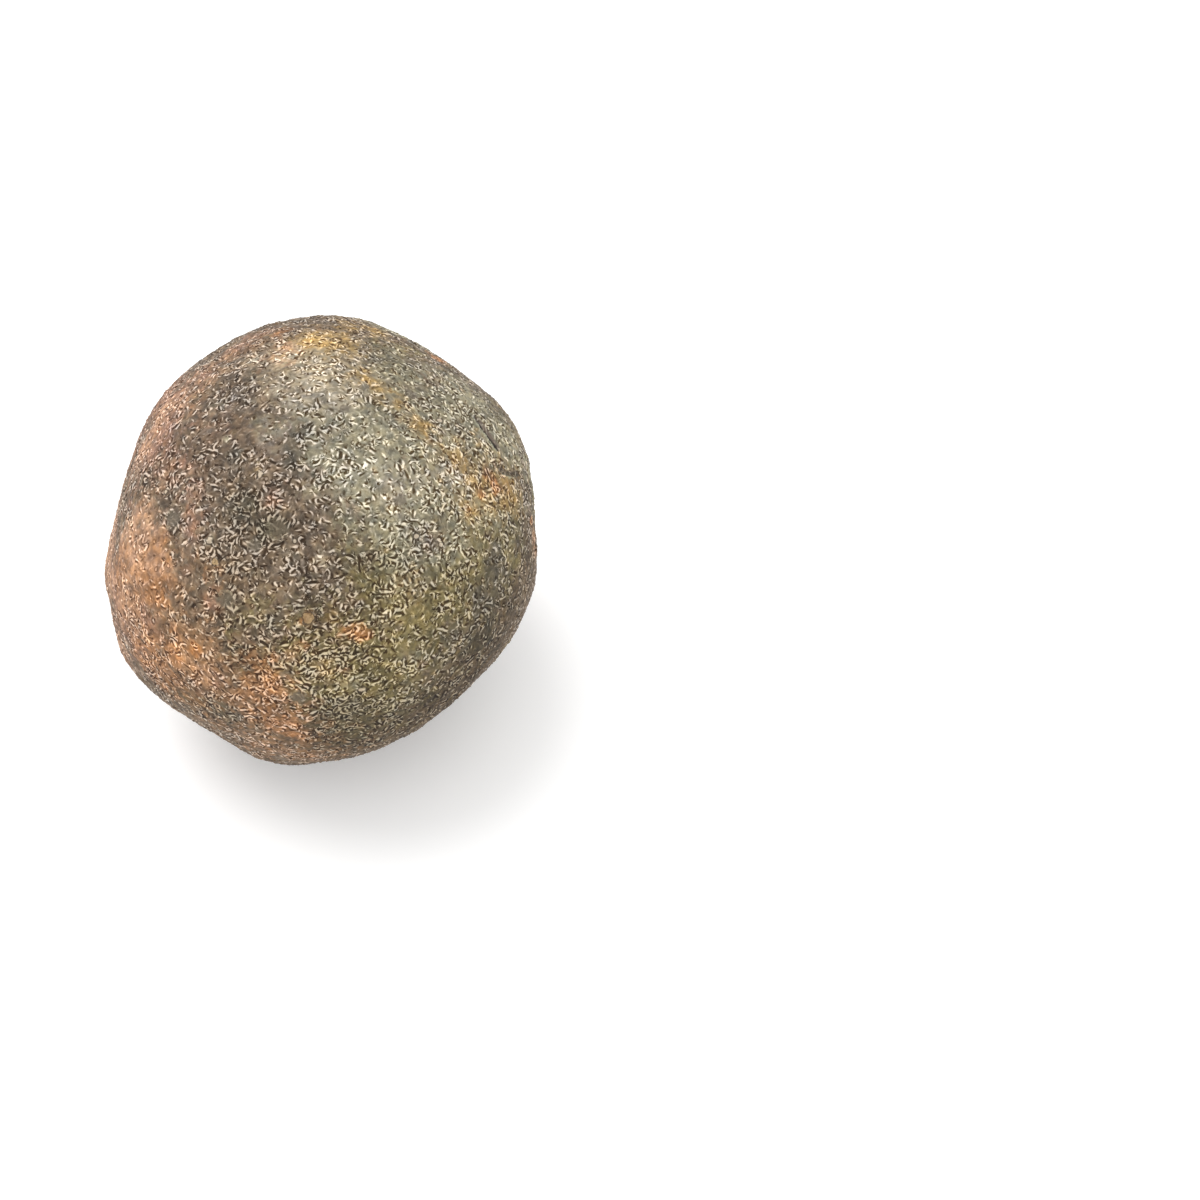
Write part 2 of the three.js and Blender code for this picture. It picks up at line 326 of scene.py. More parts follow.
# ---------------------------------------------------------------------------------------------
# Stains: where each pigment lies on the stone, as (direction, spread in degrees, strength)
# ---------------------------------------------------------------------------------------------
STAINS = {
    "sage": [
        ((0.55, 0, 0.83), 16.9, 0.65), ((0.2, -0.13, 0.97), 11.7, 0.5), ((0.43, -0.37, 0.82), 11.5, 0.55),
        ((0.81, 0.18, 0.55), 14.3, 0.6), ((0.22, -0.17, 0.96), 6.1, 0.8), ((0.33, -0.28, 0.9), 6, 0.9),
        ((0.42, -0.36, 0.83), 4.9, 0.9), ((0.43, -0.48, 0.76), 3.8, 0.7), ((0.23, -0.4, 0.89), 3.7, 0.6),
        ((0.14, -0.28, 0.95), 3.2, 0.5), ((0.53, -0.27, 0.8), 4, 0.6), ((0.54, -0.39, 0.75), 3.9, 0.5),
        ((0.77, 0.27, 0.57), 5.1, 0.6), ((0.84, 0.14, 0.53), 3.7, 0.5), ((0.69, 0.3, 0.66), 5.7, 0.7),
        ((0.58, 0.19, 0.79), 3.4, 0.6), ((0.41, 0.26, 0.87), 4, 0.7), ((0.88, 0.12, 0.45), 3.5, 0.6),
        ((0.37, -0.57, 0.73), 2.1, 0.8), ((0.51, -0.35, 0.78), 2, 0.8), ((0.23, -0.56, 0.8), 2.1, 0.5),
        ((0.41, -0.71, 0.57), 2.2, 0.5), ((0.66, -0.52, 0.54), 2.6, 0.5), ((0.45, -0.85, 0.27), 2.9, 0.5),
        ((0.1, -0.92, 0.38), 1.9, 0.6), ((0.21, -0.95, 0.23), 2, 0.5), ((0.64, -0.42, 0.65), 2.9, 0.5),
        ((0.75, 0.03, 0.66), 3.4, 0.6), ((-0.13, -0.16, 0.98), 2.8, 0.5), ((-0.33, -0.18, 0.93), 1.1, 0.7),
        ((0.47, -0.29, 0.83), 11.7, 0.35), ((0.68, -0.19, 0.71), 9.1, 0.35), ((0.43, -0.57, 0.7), 11.4, 0.35),
        ((0.85, -0.26, 0.46), 8.1, 0.38), ((0.34, 0.33, 0.88), 6.2, 0.5), ((0.14, -0.18, 0.97), 4.4, 0.4),
        ((0.6, -0.27, 0.75), 5.8, 0.5), ((0.65, -0.25, 0.72), 6.5, 0.4), ((0.48, -0.62, 0.62), 5.5, 0.4),
        ((0.56, -0.53, 0.64), 3.9, 0.4), ((0.8, 0.09, 0.59), 8.1, 0.4), ((0.87, 0.02, 0.5), 6.1, 0.3),
        ((0.37, -0.36, 0.86), 4.9, 0.35), ((0.43, -0.36, 0.83), 4.9, 0.45), ((0.6, -0.25, 0.76), 5.2, 0.4),
        ((0.52, -0.58, 0.63), 3.3, 0.45), ((0.64, -0.45, 0.62), 4, 0.35), ((0.67, -0.2, 0.71), 3.3, 0.4),
        ((0.64, -0.46, 0.62), 2.9, 0.3), ((0.51, -0.37, 0.77), 5.6, 0.5),
    ],
    "cream": [
        ((0.19, 0.34, 0.92), 9.5, 0.3), ((0.12, 0.15, 0.98), 4.8, 0.8), ((0.02, 0.29, 0.96), 3.9, 0.6),
        ((0.19, 0.03, 0.98), 2.6, 0.7), ((-0.38, -0.59, 0.71), 1.1, 0.9), ((0.61, -0.52, 0.6), 0.9, 0.9),
        ((-0.83, -0.32, 0.46), 2.3, 0.6), ((-0.67, -0.43, 0.61), 1.8, 0.5), ((0.04, 0.13, 0.99), 10.2, 0.5),
        ((0.05, 0.05, 1), 5.2, 0.75), ((0.14, 0.03, 0.99), 3.5, 0.6), ((-0, -0.03, 1), 2.3, 0.4),
        ((0.46, -0.36, 0.81), 4.4, 0.22), ((0.6, -0.24, 0.77), 2.6, 0.4), ((0.48, -0.61, 0.63), 3.3, 0.3),
        ((0.09, -0.96, 0.27), 2.6, 0.35), ((-0.06, 0.22, 0.97), 6.2, 0.4), ((-0.26, 0.31, 0.91), 4, 0.3),
        ((0.53, -0.29, 0.8), 3.4, 0.25), ((0.4, -0.38, 0.83), 2.7, 0.3), ((0.5, -0.67, 0.55), 3.3, 0.35),
        ((0.15, -0.69, 0.71), 2.4, 0.3), ((0.12, 0.06, 0.99), 3.5, 0.35), ((0.39, -0.8, 0.45), 2.2, 0.3),
        ((0.21, -0.87, 0.44), 1.9, 0.3), ((0.05, 0.3, 0.95), 3.3, 0.3), ((-0.04, 0.25, 0.97), 5.1, 0.35),
        ((0.16, 0.07, 0.99), 3.5, 0.35), ((0.19, -0.19, 0.96), 2.5, 0.35), ((0.39, -0.42, 0.82), 3, 0.35),
        ((0.67, -0.19, 0.72), 2.7, 0.25), ((0.11, -0.69, 0.71), 2.4, 0.35), ((0.08, -0.94, 0.32), 2.2, 0.3),
        ((0.78, 0.04, 0.63), 2.1, 0.55), ((0.78, 0.24, 0.58), 2.9, 0.5), ((0.45, -0.34, 0.82), 5, 0.22),
        ((0.43, -0.47, 0.77), 2.7, 0.3), ((0.35, -0.84, 0.42), 1.9, 0.3), ((-0.04, 0.3, 0.95), 3.9, 0.35),
        ((0.16, 0.11, 0.98), 3.6, 0.3), ((0.68, -0.2, 0.71), 2.7, 0.35), ((-0.03, 0.31, 0.95), 3, 0.25),
        ((-0.75, -0.36, 0.56), 2.5, 0.35), ((-0.03, 0.3, 0.96), 2.9, 0.2), ((-0.02, 0.14, 0.99), 2.4, 0.25),
        ((0.17, 0.03, 0.99), 2.9, 0.3), ((0.68, -0.19, 0.71), 3.7, 0.5),
    ],
    "olive": [
        ((0.57, -0.67, 0.48), 15.7, 0.75), ((0.31, -0.93, 0.21), 14.1, 0.7), ((0.76, -0.37, 0.53), 11.8, 0.6),
        ((0.05, -0.91, 0.4), 9.9, 0.35), ((0.38, 0.43, 0.82), 11.5, 0.25), ((0.51, -0.61, 0.61), 5.5, 0.8),
        ((0.47, -0.74, 0.48), 5.6, 0.9), ((0.61, -0.65, 0.45), 4.1, 0.8), ((0.42, -0.84, 0.35), 4.6, 0.8),
        ((0.55, -0.75, 0.37), 3.5, 0.8), ((0.31, -0.91, 0.29), 4, 0.8), ((0.29, -0.95, 0.11), 4.3, 0.6),
        ((0.18, -0.98, -0.11), 3.4, 0.4), ((0.38, -0.91, 0.13), 3.7, 0.7), ((0.72, -0.5, 0.48), 3, 0.6),
        ((0.76, -0.37, 0.53), 2.8, 0.6), ((0.29, -0.71, 0.64), 2.1, 0.7), ((0.23, -0.63, 0.74), 2.1, 0.4),
        ((-0.21, -0.83, 0.52), 2.7, 0.5), ((-0.26, -0.87, 0.41), 2.5, 0.4), ((0.01, -0.91, 0.4), 2.5, 0.5),
        ((0.1, -0.97, 0.21), 3.5, 0.6), ((0.87, -0.16, 0.47), 2.8, 0.5), ((0.46, 0.5, 0.74), 3.5, 0.5),
        ((0.33, 0.45, 0.83), 3.1, 0.4), ((-0.2, -0.4, 0.9), 2.1, 0.3), ((-0.14, -0.8, 0.58), 2.1, 0.4),
        ((0.89, -0.31, 0.35), 5.7, 0.5), ((0.84, -0.43, 0.32), 5.4, 0.4), ((0.38, 0.28, 0.88), 5.4, 0.2),
        ((0.78, 0.22, 0.59), 4.9, 0.35), ((0.84, 0.08, 0.54), 5.4, 0.25), ((0.78, 0.07, 0.62), 6.5, 0.35),
        ((0.88, -0.17, 0.44), 4.6, 0.4), ((0.77, 0.26, 0.59), 3.3, 0.3), ((0.87, -0.16, 0.47), 8.4, 0.4),
        ((0.85, 0.27, 0.45), 8.1, 0.35),
    ],
    "rosy": [
        ((-0.69, 0.06, 0.72), 11.4, 0.65), ((-0.76, -0.58, 0.3), 10.9, 0.7), ((-0.42, -0.51, 0.75), 6.5, 0.25),
        ((-0.61, 0.24, 0.75), 4.3, 0.7), ((-0.66, 0.06, 0.75), 3.3, 0.7), ((-0.7, -0.09, 0.71), 2.5, 0.7),
        ((-0.47, 0.3, 0.83), 3.2, 0.5), ((-0.8, -0.23, 0.56), 2.6, 0.5), ((-0.46, -0.52, 0.72), 2.2, 0.5),
        ((-0.36, -0.76, 0.54), 2.4, 0.8), ((-0.47, -0.41, 0.78), 1.9, 0.4), ((-0.75, -0.65, 0.11), 4.1, 0.8),
        ((-0.68, -0.68, 0.29), 2.5, 0.6), ((-0.81, -0.54, 0.24), 3.4, 0.8), ((-0.82, -0.45, 0.35), 2.6, 0.6),
        ((-0.32, 0.46, 0.83), 3.9, 0.6), ((-0.24, 0.57, 0.79), 3.5, 0.5), ((-0.1, -0.47, 0.88), 1.8, 0.8),
        ((0.55, -0.11, 0.82), 1.5, 0.5), ((-0.36, -0.91, 0.19), 2.4, 0.6), ((-0.46, -0.88, 0.08), 1.9, 0.5),
        ((0.92, 0.02, 0.4), 2.9, 0.5), ((-0.58, -0.22, 0.79), 4.1, 0.5), ((-0.47, -0.34, 0.81), 3.3, 0.4),
        ((-0.35, -0.1, 0.93), 3.4, 0.2), ((-0.97, -0.12, 0.22), 4.6, 0.4), ((-0.13, 0.21, 0.97), 5, 0.2),
        ((-0.93, -0.32, 0.21), 4.7, 0.5),
    ],
    "tan": [
        ((-0.65, -0.59, 0.49), 9.4, 0.75), ((-0.54, -0.81, 0.23), 10.3, 0.8),
        ((-0.2, -0.98, 0.04), 13.7, 0.75), ((-0.04, -0.98, -0.17), 12.6, 0.6), ((-0.27, 0.42, 0.86), 11, 0.5),
        ((-0.53, -0.01, 0.85), 8.5, 0.3), ((-0.32, -0.93, 0.15), 7.8, 0.5), ((0.13, -0.89, 0.43), 7.1, 0.3),
        ((0.49, -0.72, 0.48), 3.4, 0.3), ((0.09, -0.93, 0.35), 3.3, 0.3), ((-0.43, -0.88, 0.22), 3.9, 0.35),
        ((0.06, -0.93, 0.35), 4.2, 0.35), ((-0.43, -0.88, 0.21), 3.9, 0.4), ((-0.51, -0.84, 0.18), 3.4, 0.3),
        ((-0.52, -0.84, 0.15), 3.1, 0.25), ((-0.42, -0.88, 0.21), 3, 0.25),
    ],
    "ochre": [
        ((0.17, 0.33, 0.93), 10.1, 0.29), ((0.42, 0.03, 0.91), 9, 0.22), ((0.74, -0.19, 0.64), 10.1, 0.5),
        ((0.89, -0.03, 0.46), 7.6, 0.3), ((0.05, 0.4, 0.91), 2.8, 0.75), ((0.11, 0.43, 0.9), 2.9, 0.75),
        ((-0.02, 0.38, 0.92), 2.4, 0.7), ((0.18, 0.37, 0.91), 2.1, 0.6), ((0.25, 0.15, 0.96), 2.1, 0.8),
        ((0.33, 0.11, 0.94), 1.8, 0.6), ((0.43, 0.03, 0.9), 1.8, 0.7), ((0.51, -0.05, 0.86), 2.1, 0.8),
        ((0.66, -0.14, 0.73), 1.8, 0.8), ((0.6, -0.17, 0.79), 1.5, 0.5), ((0.72, -0.34, 0.6), 1.8, 0.7),
        ((0.81, -0.18, 0.56), 2.6, 0.7), ((0.75, -0.17, 0.64), 2.5, 0.7), ((0.16, -0.83, 0.54), 1.6, 0.6),
        ((0.08, -0.93, 0.36), 1.7, 0.6), ((0.26, 0.59, 0.77), 3.7, 0.6), ((0.16, 0.61, 0.78), 3.7, 0.5),
        ((0.9, -0.12, 0.43), 2.2, 0.4), ((-0.16, -0.38, 0.91), 1.3, 0.5), ((-0.07, 0.3, 0.95), 5.9, 0.32),
        ((-0.58, -0.54, 0.61), 2.3, 0.6), ((0.9, -0.08, 0.44), 4.1, 0.6), ((0.46, -0.7, 0.54), 3.9, 0.35),
        ((0.13, -0.95, 0.3), 2.8, 0.4), ((0.36, -0.83, 0.43), 2.8, 0.3), ((0.6, -0.49, 0.64), 3.7, 0.25),
        ((0.49, -0.67, 0.56), 3.6, 0.25), ((0.86, -0.17, 0.48), 5.6, 0.12), ((0.05, 0.46, 0.89), 3.7, 0.35),
    ],
    # dark brown patches; those low on the front, on the lower right and near the top on the right are painted shade
    "umber_and_shade": [
        ((-0.37, -0.18, 0.91), 10.7, 0.4), ((-0.2, -0.59, 0.79), 9.4, 0.3), ((0.21, -0.68, 0.7), 6.3, 0.4),
        ((0.7, -0.71, -0.11), 11.9, 0.4), ((-0.41, 0.21, 0.89), 3.9, 0.6), ((-0.53, -0.17, 0.83), 2.6, 0.6),
        ((-0.41, -0.24, 0.88), 2.8, 0.6), ((-0.33, -0.14, 0.93), 2.3, 0.5), ((-0.48, -0.03, 0.88), 2.4, 0.4),
        ((-0.36, -0.37, 0.86), 2.7, 0.6), ((-0.43, -0.68, 0.6), 2.7, 0.5), ((-0.31, -0.66, 0.68), 2.1, 0.5),
        ((0.19, -0.62, 0.76), 1.8, 0.7), ((0.23, -0.68, 0.7), 2.1, 0.6), ((0.27, -0.78, 0.57), 1.9, 0.7),
        ((0.14, -0.73, 0.66), 1.6, 0.4), ((0.02, -0.57, 0.82), 2.1, 0.4), ((-0.39, -0.84, 0.37), 2.3, 0.4),
        ((-0.27, -0.91, 0.3), 2, 0.6), ((0.28, -0.95, -0.15), 3.5, 0.5), ((0.09, -0.98, -0.18), 3.5, 0.4),
        ((0.39, -0.92, -0.09), 3.1, 0.5), ((0.39, -0.92, -0.08), 9.6, 0.6), ((0.72, -0.69, -0.01), 11.1, 0.6),
        ((0.84, -0.51, 0.21), 8.4, 0.5), ((0.11, -0.97, -0.21), 8, 0.4), ((-0.39, -0.92, -0.05), 6.1, 0.35),
        ((0.11, -0.99, 0.02), 10, 0.4), ((0.57, -0.82, 0.03), 10.1, 0.5), ((0.39, 0.32, 0.86), 4.9, 0.35),
        ((-0.33, -0.21, 0.92), 4.7, 0.4), ((-0.23, -0.14, 0.96), 3.9, 0.3), ((-0.36, -0.93, -0.02), 6.6, 0.35),
        ((0.19, -0.98, 0.01), 7, 0.35), ((-0.21, -0.96, 0.19), 4.1, 0.25), ((0.23, -0.68, 0.7), 3.2, 0.3),
        ((-0.23, -0.82, 0.53), 2.7, 0.3), ((-0.42, -0.48, 0.77), 3.3, 0.25), ((-0.31, -0.7, 0.64), 2.4, 0.4),
        ((-0.38, -0.93, -0.03), 4.6, 0.45), ((-0.27, -0.96, -0.1), 4.4, 0.45),
        ((0.19, -0.98, -0.05), 7.8, 0.4), ((0.46, -0.89, 0.01), 6.6, 0.4), ((-0.24, -0.93, 0.29), 2.3, 0.3),
        ((-0.54, -0.84, 0.02), 2.7, 0.3), ((-0.32, -0.04, 0.94), 2.6, 0.2), ((0.72, -0.59, 0.38), 4.6, 0.3),
        ((0.73, 0.17, 0.66), 1.8, 0.7), ((-0.3, -0.15, 0.94), 5, 0.22), ((-0.32, -0.7, 0.64), 2.1, 0.25),
        ((-0.25, -0.93, 0.28), 2.6, 0.3), ((-0.23, -0.81, 0.53), 2.1, 0.25), ((0.19, -0.98, 0.05), 6.8, 0.35),
        ((0.19, -0.98, 0.04), 7.5, 0.45),
    ],
    "rust": [
        ((-0.65, -0.58, 0.5), 5.8, 0.35), ((-0.15, -0.98, 0.12), 7.8, 0.4), ((-0.62, -0.51, 0.59), 3.4, 0.6),
        ((-0.6, -0.59, 0.55), 2.9, 0.65), ((-0.64, -0.62, 0.45), 3.5, 0.75), ((-0.7, -0.55, 0.46), 3, 0.7),
        ((-0.6, -0.68, 0.42), 2.3, 0.7), ((-0.53, -0.78, 0.33), 1.8, 0.7), ((-0.55, -0.8, 0.22), 2.1, 0.7),
        ((-0.66, -0.72, 0.21), 2.2, 0.5), ((-0.13, -0.97, 0.22), 2.6, 0.8), ((-0.2, -0.97, 0.13), 2.1, 0.5),
        ((-0.1, -0.99, 0.02), 3.4, 0.9), ((-0.02, -1, -0.07), 2.6, 0.7), ((0.03, -0.91, 0.42), 1.4, 0.6),
        ((0.19, -0.86, 0.47), 1.6, 0.5), ((-0.13, 0.5, 0.85), 2.7, 0.7), ((-0.25, -0.92, -0.29), 3.6, 0.5),
        ((-0.01, -0.95, -0.32), 3.2, 0.5), ((0.84, -0.01, 0.54), 2.6, 0.4), ((0.18, -0.93, 0.31), 1.1, 0.5),
        ((-0.77, -0.62, 0.15), 4.1, 0.5), ((-0.62, -0.78, 0.05), 4.7, 0.6), ((-0.65, -0.54, 0.54), 4.7, 0.38),
        ((-0.07, -0.5, 0.86), 1.3, 0.6), ((-0.8, -0.45, 0.41), 4.5, 0.45), ((-0.69, -0.72, 0.03), 6, 0.45),
        ((-0.37, -0.68, 0.63), 3.5, 0.4), ((0.87, -0.1, 0.49), 2.2, 0.4), ((-0.55, -0.8, 0.22), 4.3, 0.3),
        ((-0.15, -0.93, 0.33), 3.4, 0.3), ((-0.84, -0.45, 0.32), 4, 0.4), ((-0.74, -0.63, 0.24), 4.5, 0.4),
        ((-0.66, -0.75, -0.01), 4.3, 0.3), ((-0.83, -0.41, 0.39), 3, 0.3), ((-0.81, -0.52, 0.28), 3, 0.3),
        ((-0.82, -0.42, 0.38), 2.6, 0.25),
    ],
    # dark grey patches; those on the lower right and low on the front are painted shade
    "grey_and_shade": [
        ((-0.02, -0.32, 0.95), 1.3, 0.9), ((0.01, -0.2, 0.98), 1.9, 0.7), ((-0.05, -0.26, 0.96), 1.9, 0.5),
        ((-0.28, -0.29, 0.92), 2.4, 0.7), ((-0.36, 0.03, 0.93), 1.8, 0.7), ((-0.22, -0.49, 0.84), 3.2, 0.8),
        ((-0.14, -0.59, 0.8), 2.6, 0.8), ((-0.31, -0.52, 0.8), 2.4, 0.5), ((-0.02, -0.68, 0.73), 2.1, 0.6),
        ((-0.14, -0.73, 0.67), 1.8, 0.5), ((-0.11, -0.85, 0.51), 1.9, 0.9), ((0.02, -0.81, 0.59), 2.6, 0.4),
        ((0.1, -0.76, 0.64), 2.1, 0.4), ((0.82, -0.41, 0.39), 2.6, 0.8), ((0.75, -0.58, 0.33), 3.2, 0.7),
        ((0.84, -0.45, 0.31), 3.4, 0.7), ((0.79, -0.57, 0.22), 3.4, 0.7), ((0.64, -0.73, 0.22), 2.8, 0.5),
        ((0.66, 0.01, 0.75), 2.3, 0.6), ((-0.36, -0.93, -0.03), 3, 0.7), ((-0.6, -0.8, -0.02), 2.5, 0.6),
        ((-0.69, -0.21, 0.69), 1.8, 0.5), ((-0.61, -0.37, 0.7), 1.7, 0.5), ((0.18, -0.98, 0.13), 2.4, 0.4),
        ((-0.07, -0.99, -0.11), 6.7, 0.35), ((0.72, -0.67, 0.14), 9.4, 0.5), ((0.28, 0.34, 0.9), 6.9, 0.4),
        ((0.26, 0.34, 0.9), 4.8, 0.2), ((0.01, -0.24, 0.97), 4.3, 0.15), ((-0.21, 0.17, 0.96), 2.5, 0.25),
        ((-0.21, 0.17, 0.96), 2.8, 0.3), ((-0.35, -0.94, 0.01), 3.2, 0.25), ((0.17, -0.98, 0.04), 7.5, 0.4),
        ((0.33, -0.94, -0.07), 6, 0.4), ((0.05, -0.98, -0.18), 6.4, 0.35), ((-0.35, -0.94, -0), 4.5, 0.35),
        ((-0.28, -0.95, -0.11), 4.1, 0.35), ((0.46, -0.89, 0.05), 5.8, 0.45), ((-0.25, -0.93, 0.28), 2, 0.3),
        ((-0.28, -0.13, 0.95), 2.8, 0.2), ((-0.19, 0.17, 0.97), 2.1, 0.25), ((0.17, -0.98, 0.06), 4.3, 0.25),
        ((0.2, -0.98, 0.06), 3.1, 0.3), ((-0.25, -0.93, 0.28), 2.6, 0.35),
    ],
    "violet": [
        ((0.55, -0.52, 0.65), 3.4, 0.7), ((0.48, -0.49, 0.73), 2.2, 0.4), ((-0.28, 0.04, 0.96), 2.4, 0.4),
        ((0.14, -0.77, 0.62), 1.6, 0.4), ((0.07, -0.16, 0.98), 1.6, 0.3), ((-0.01, 0.09, 1), 5.9, 0.25),
        ((-0.39, -0.02, 0.92), 4.7, 0.3), ((-0.1, -0.22, 0.97), 4.9, 0.25), ((-0.72, -0.34, 0.61), 2.4, 0.25),
        ((-0.27, -0.34, 0.9), 4.3, 0.2), ((-0.3, -0.53, 0.79), 3.7, 0.2), ((-0.89, -0.11, 0.43), 3.7, 0.3),
    ],
    "orange": [
        ((-0.61, -0.5, 0.61), 1.7, 0.5), ((-0.45, -0.84, 0.31), 1.7, 0.9), ((0.25, -0.86, 0.44), 1.4, 1),
        ((0.21, -0.86, 0.47), 1.1, 0.7), ((0.28, -0.86, 0.42), 1.1, 0.7), ((-0.12, -0.96, 0.24), 1.7, 0.7),
        ((0.8, -0.1, 0.6), 1.7, 0.8), ((0.84, -0.13, 0.53), 1.7, 0.9), ((0.76, -0.2, 0.61), 1.6, 0.6),
        ((0.04, -0.85, 0.53), 1.1, 0.8), ((0.72, -0.33, 0.61), 1.2, 0.5),
    ],
    "peach": [
        ((-0.71, -0.46, 0.53), 6, 0.7), ((-0.77, -0.54, 0.35), 5.1, 0.6), ((-0.71, -0.35, 0.6), 3.6, 0.2),
        ((-0.65, 0.11, 0.76), 4.7, 0.5), ((-0.55, 0.18, 0.81), 4, 0.5), ((-0.71, 0.01, 0.7), 2.7, 0.5),
        ((-0.77, -0.61, 0.2), 4, 0.45), ((-0.08, 0.36, 0.93), 3.4, 0.5), ((-0.1, -0.48, 0.87), 1.3, 0.6),
        ((-0.57, -0.82, 0.06), 4, 0.4), ((-0.68, -0.3, 0.67), 3, 0.4), ((-0.19, 0.21, 0.96), 3.1, 0.3),
        ((-0.03, -0.93, 0.38), 2.5, 0.4), ((-0.83, -0.39, 0.4), 3.9, 0.3), ((-0.71, -0.41, 0.57), 4.2, 0.3),
        ((-0.74, -0.06, 0.67), 3.6, 0.35), ((-0.67, 0.16, 0.72), 3.2, 0.35), ((-0.62, -0.31, 0.72), 2.6, 0.25),
        ((-0.82, -0.33, 0.46), 2.9, 0.25), ((-0.11, 0.3, 0.95), 3.3, 0.25), ((-0.69, 0.18, 0.7), 3.6, 0.35),
        ((-0.75, -0.02, 0.66), 3.7, 0.35), ((-0.44, -0.88, 0.2), 2.7, 0.3), ((-0.62, -0.56, 0.55), 3.4, 0.35),
        ((-0.92, -0.31, 0.24), 3.4, 0.35), ((-0.66, 0.17, 0.73), 3.2, 0.25), ((-0.76, -0, 0.65), 3.1, 0.25),
        ((-0.02, 0.25, 0.97), 5.1, 0.22), ((-0.65, -0.55, 0.53), 7, 0.26), ((-0.79, -0.61, 0.12), 4.9, 0.22),
        ((-0.69, 0.18, 0.7), 3.6, 0.18), ((-0.78, 0.02, 0.62), 2.8, 0.2), ((-0.43, -0.88, 0.23), 2.7, 0.2),
        ((-0.98, -0.15, 0.14), 7.4, 0.6), ((-0.9, -0.39, 0.18), 5.3, 0.5),
    ],
}
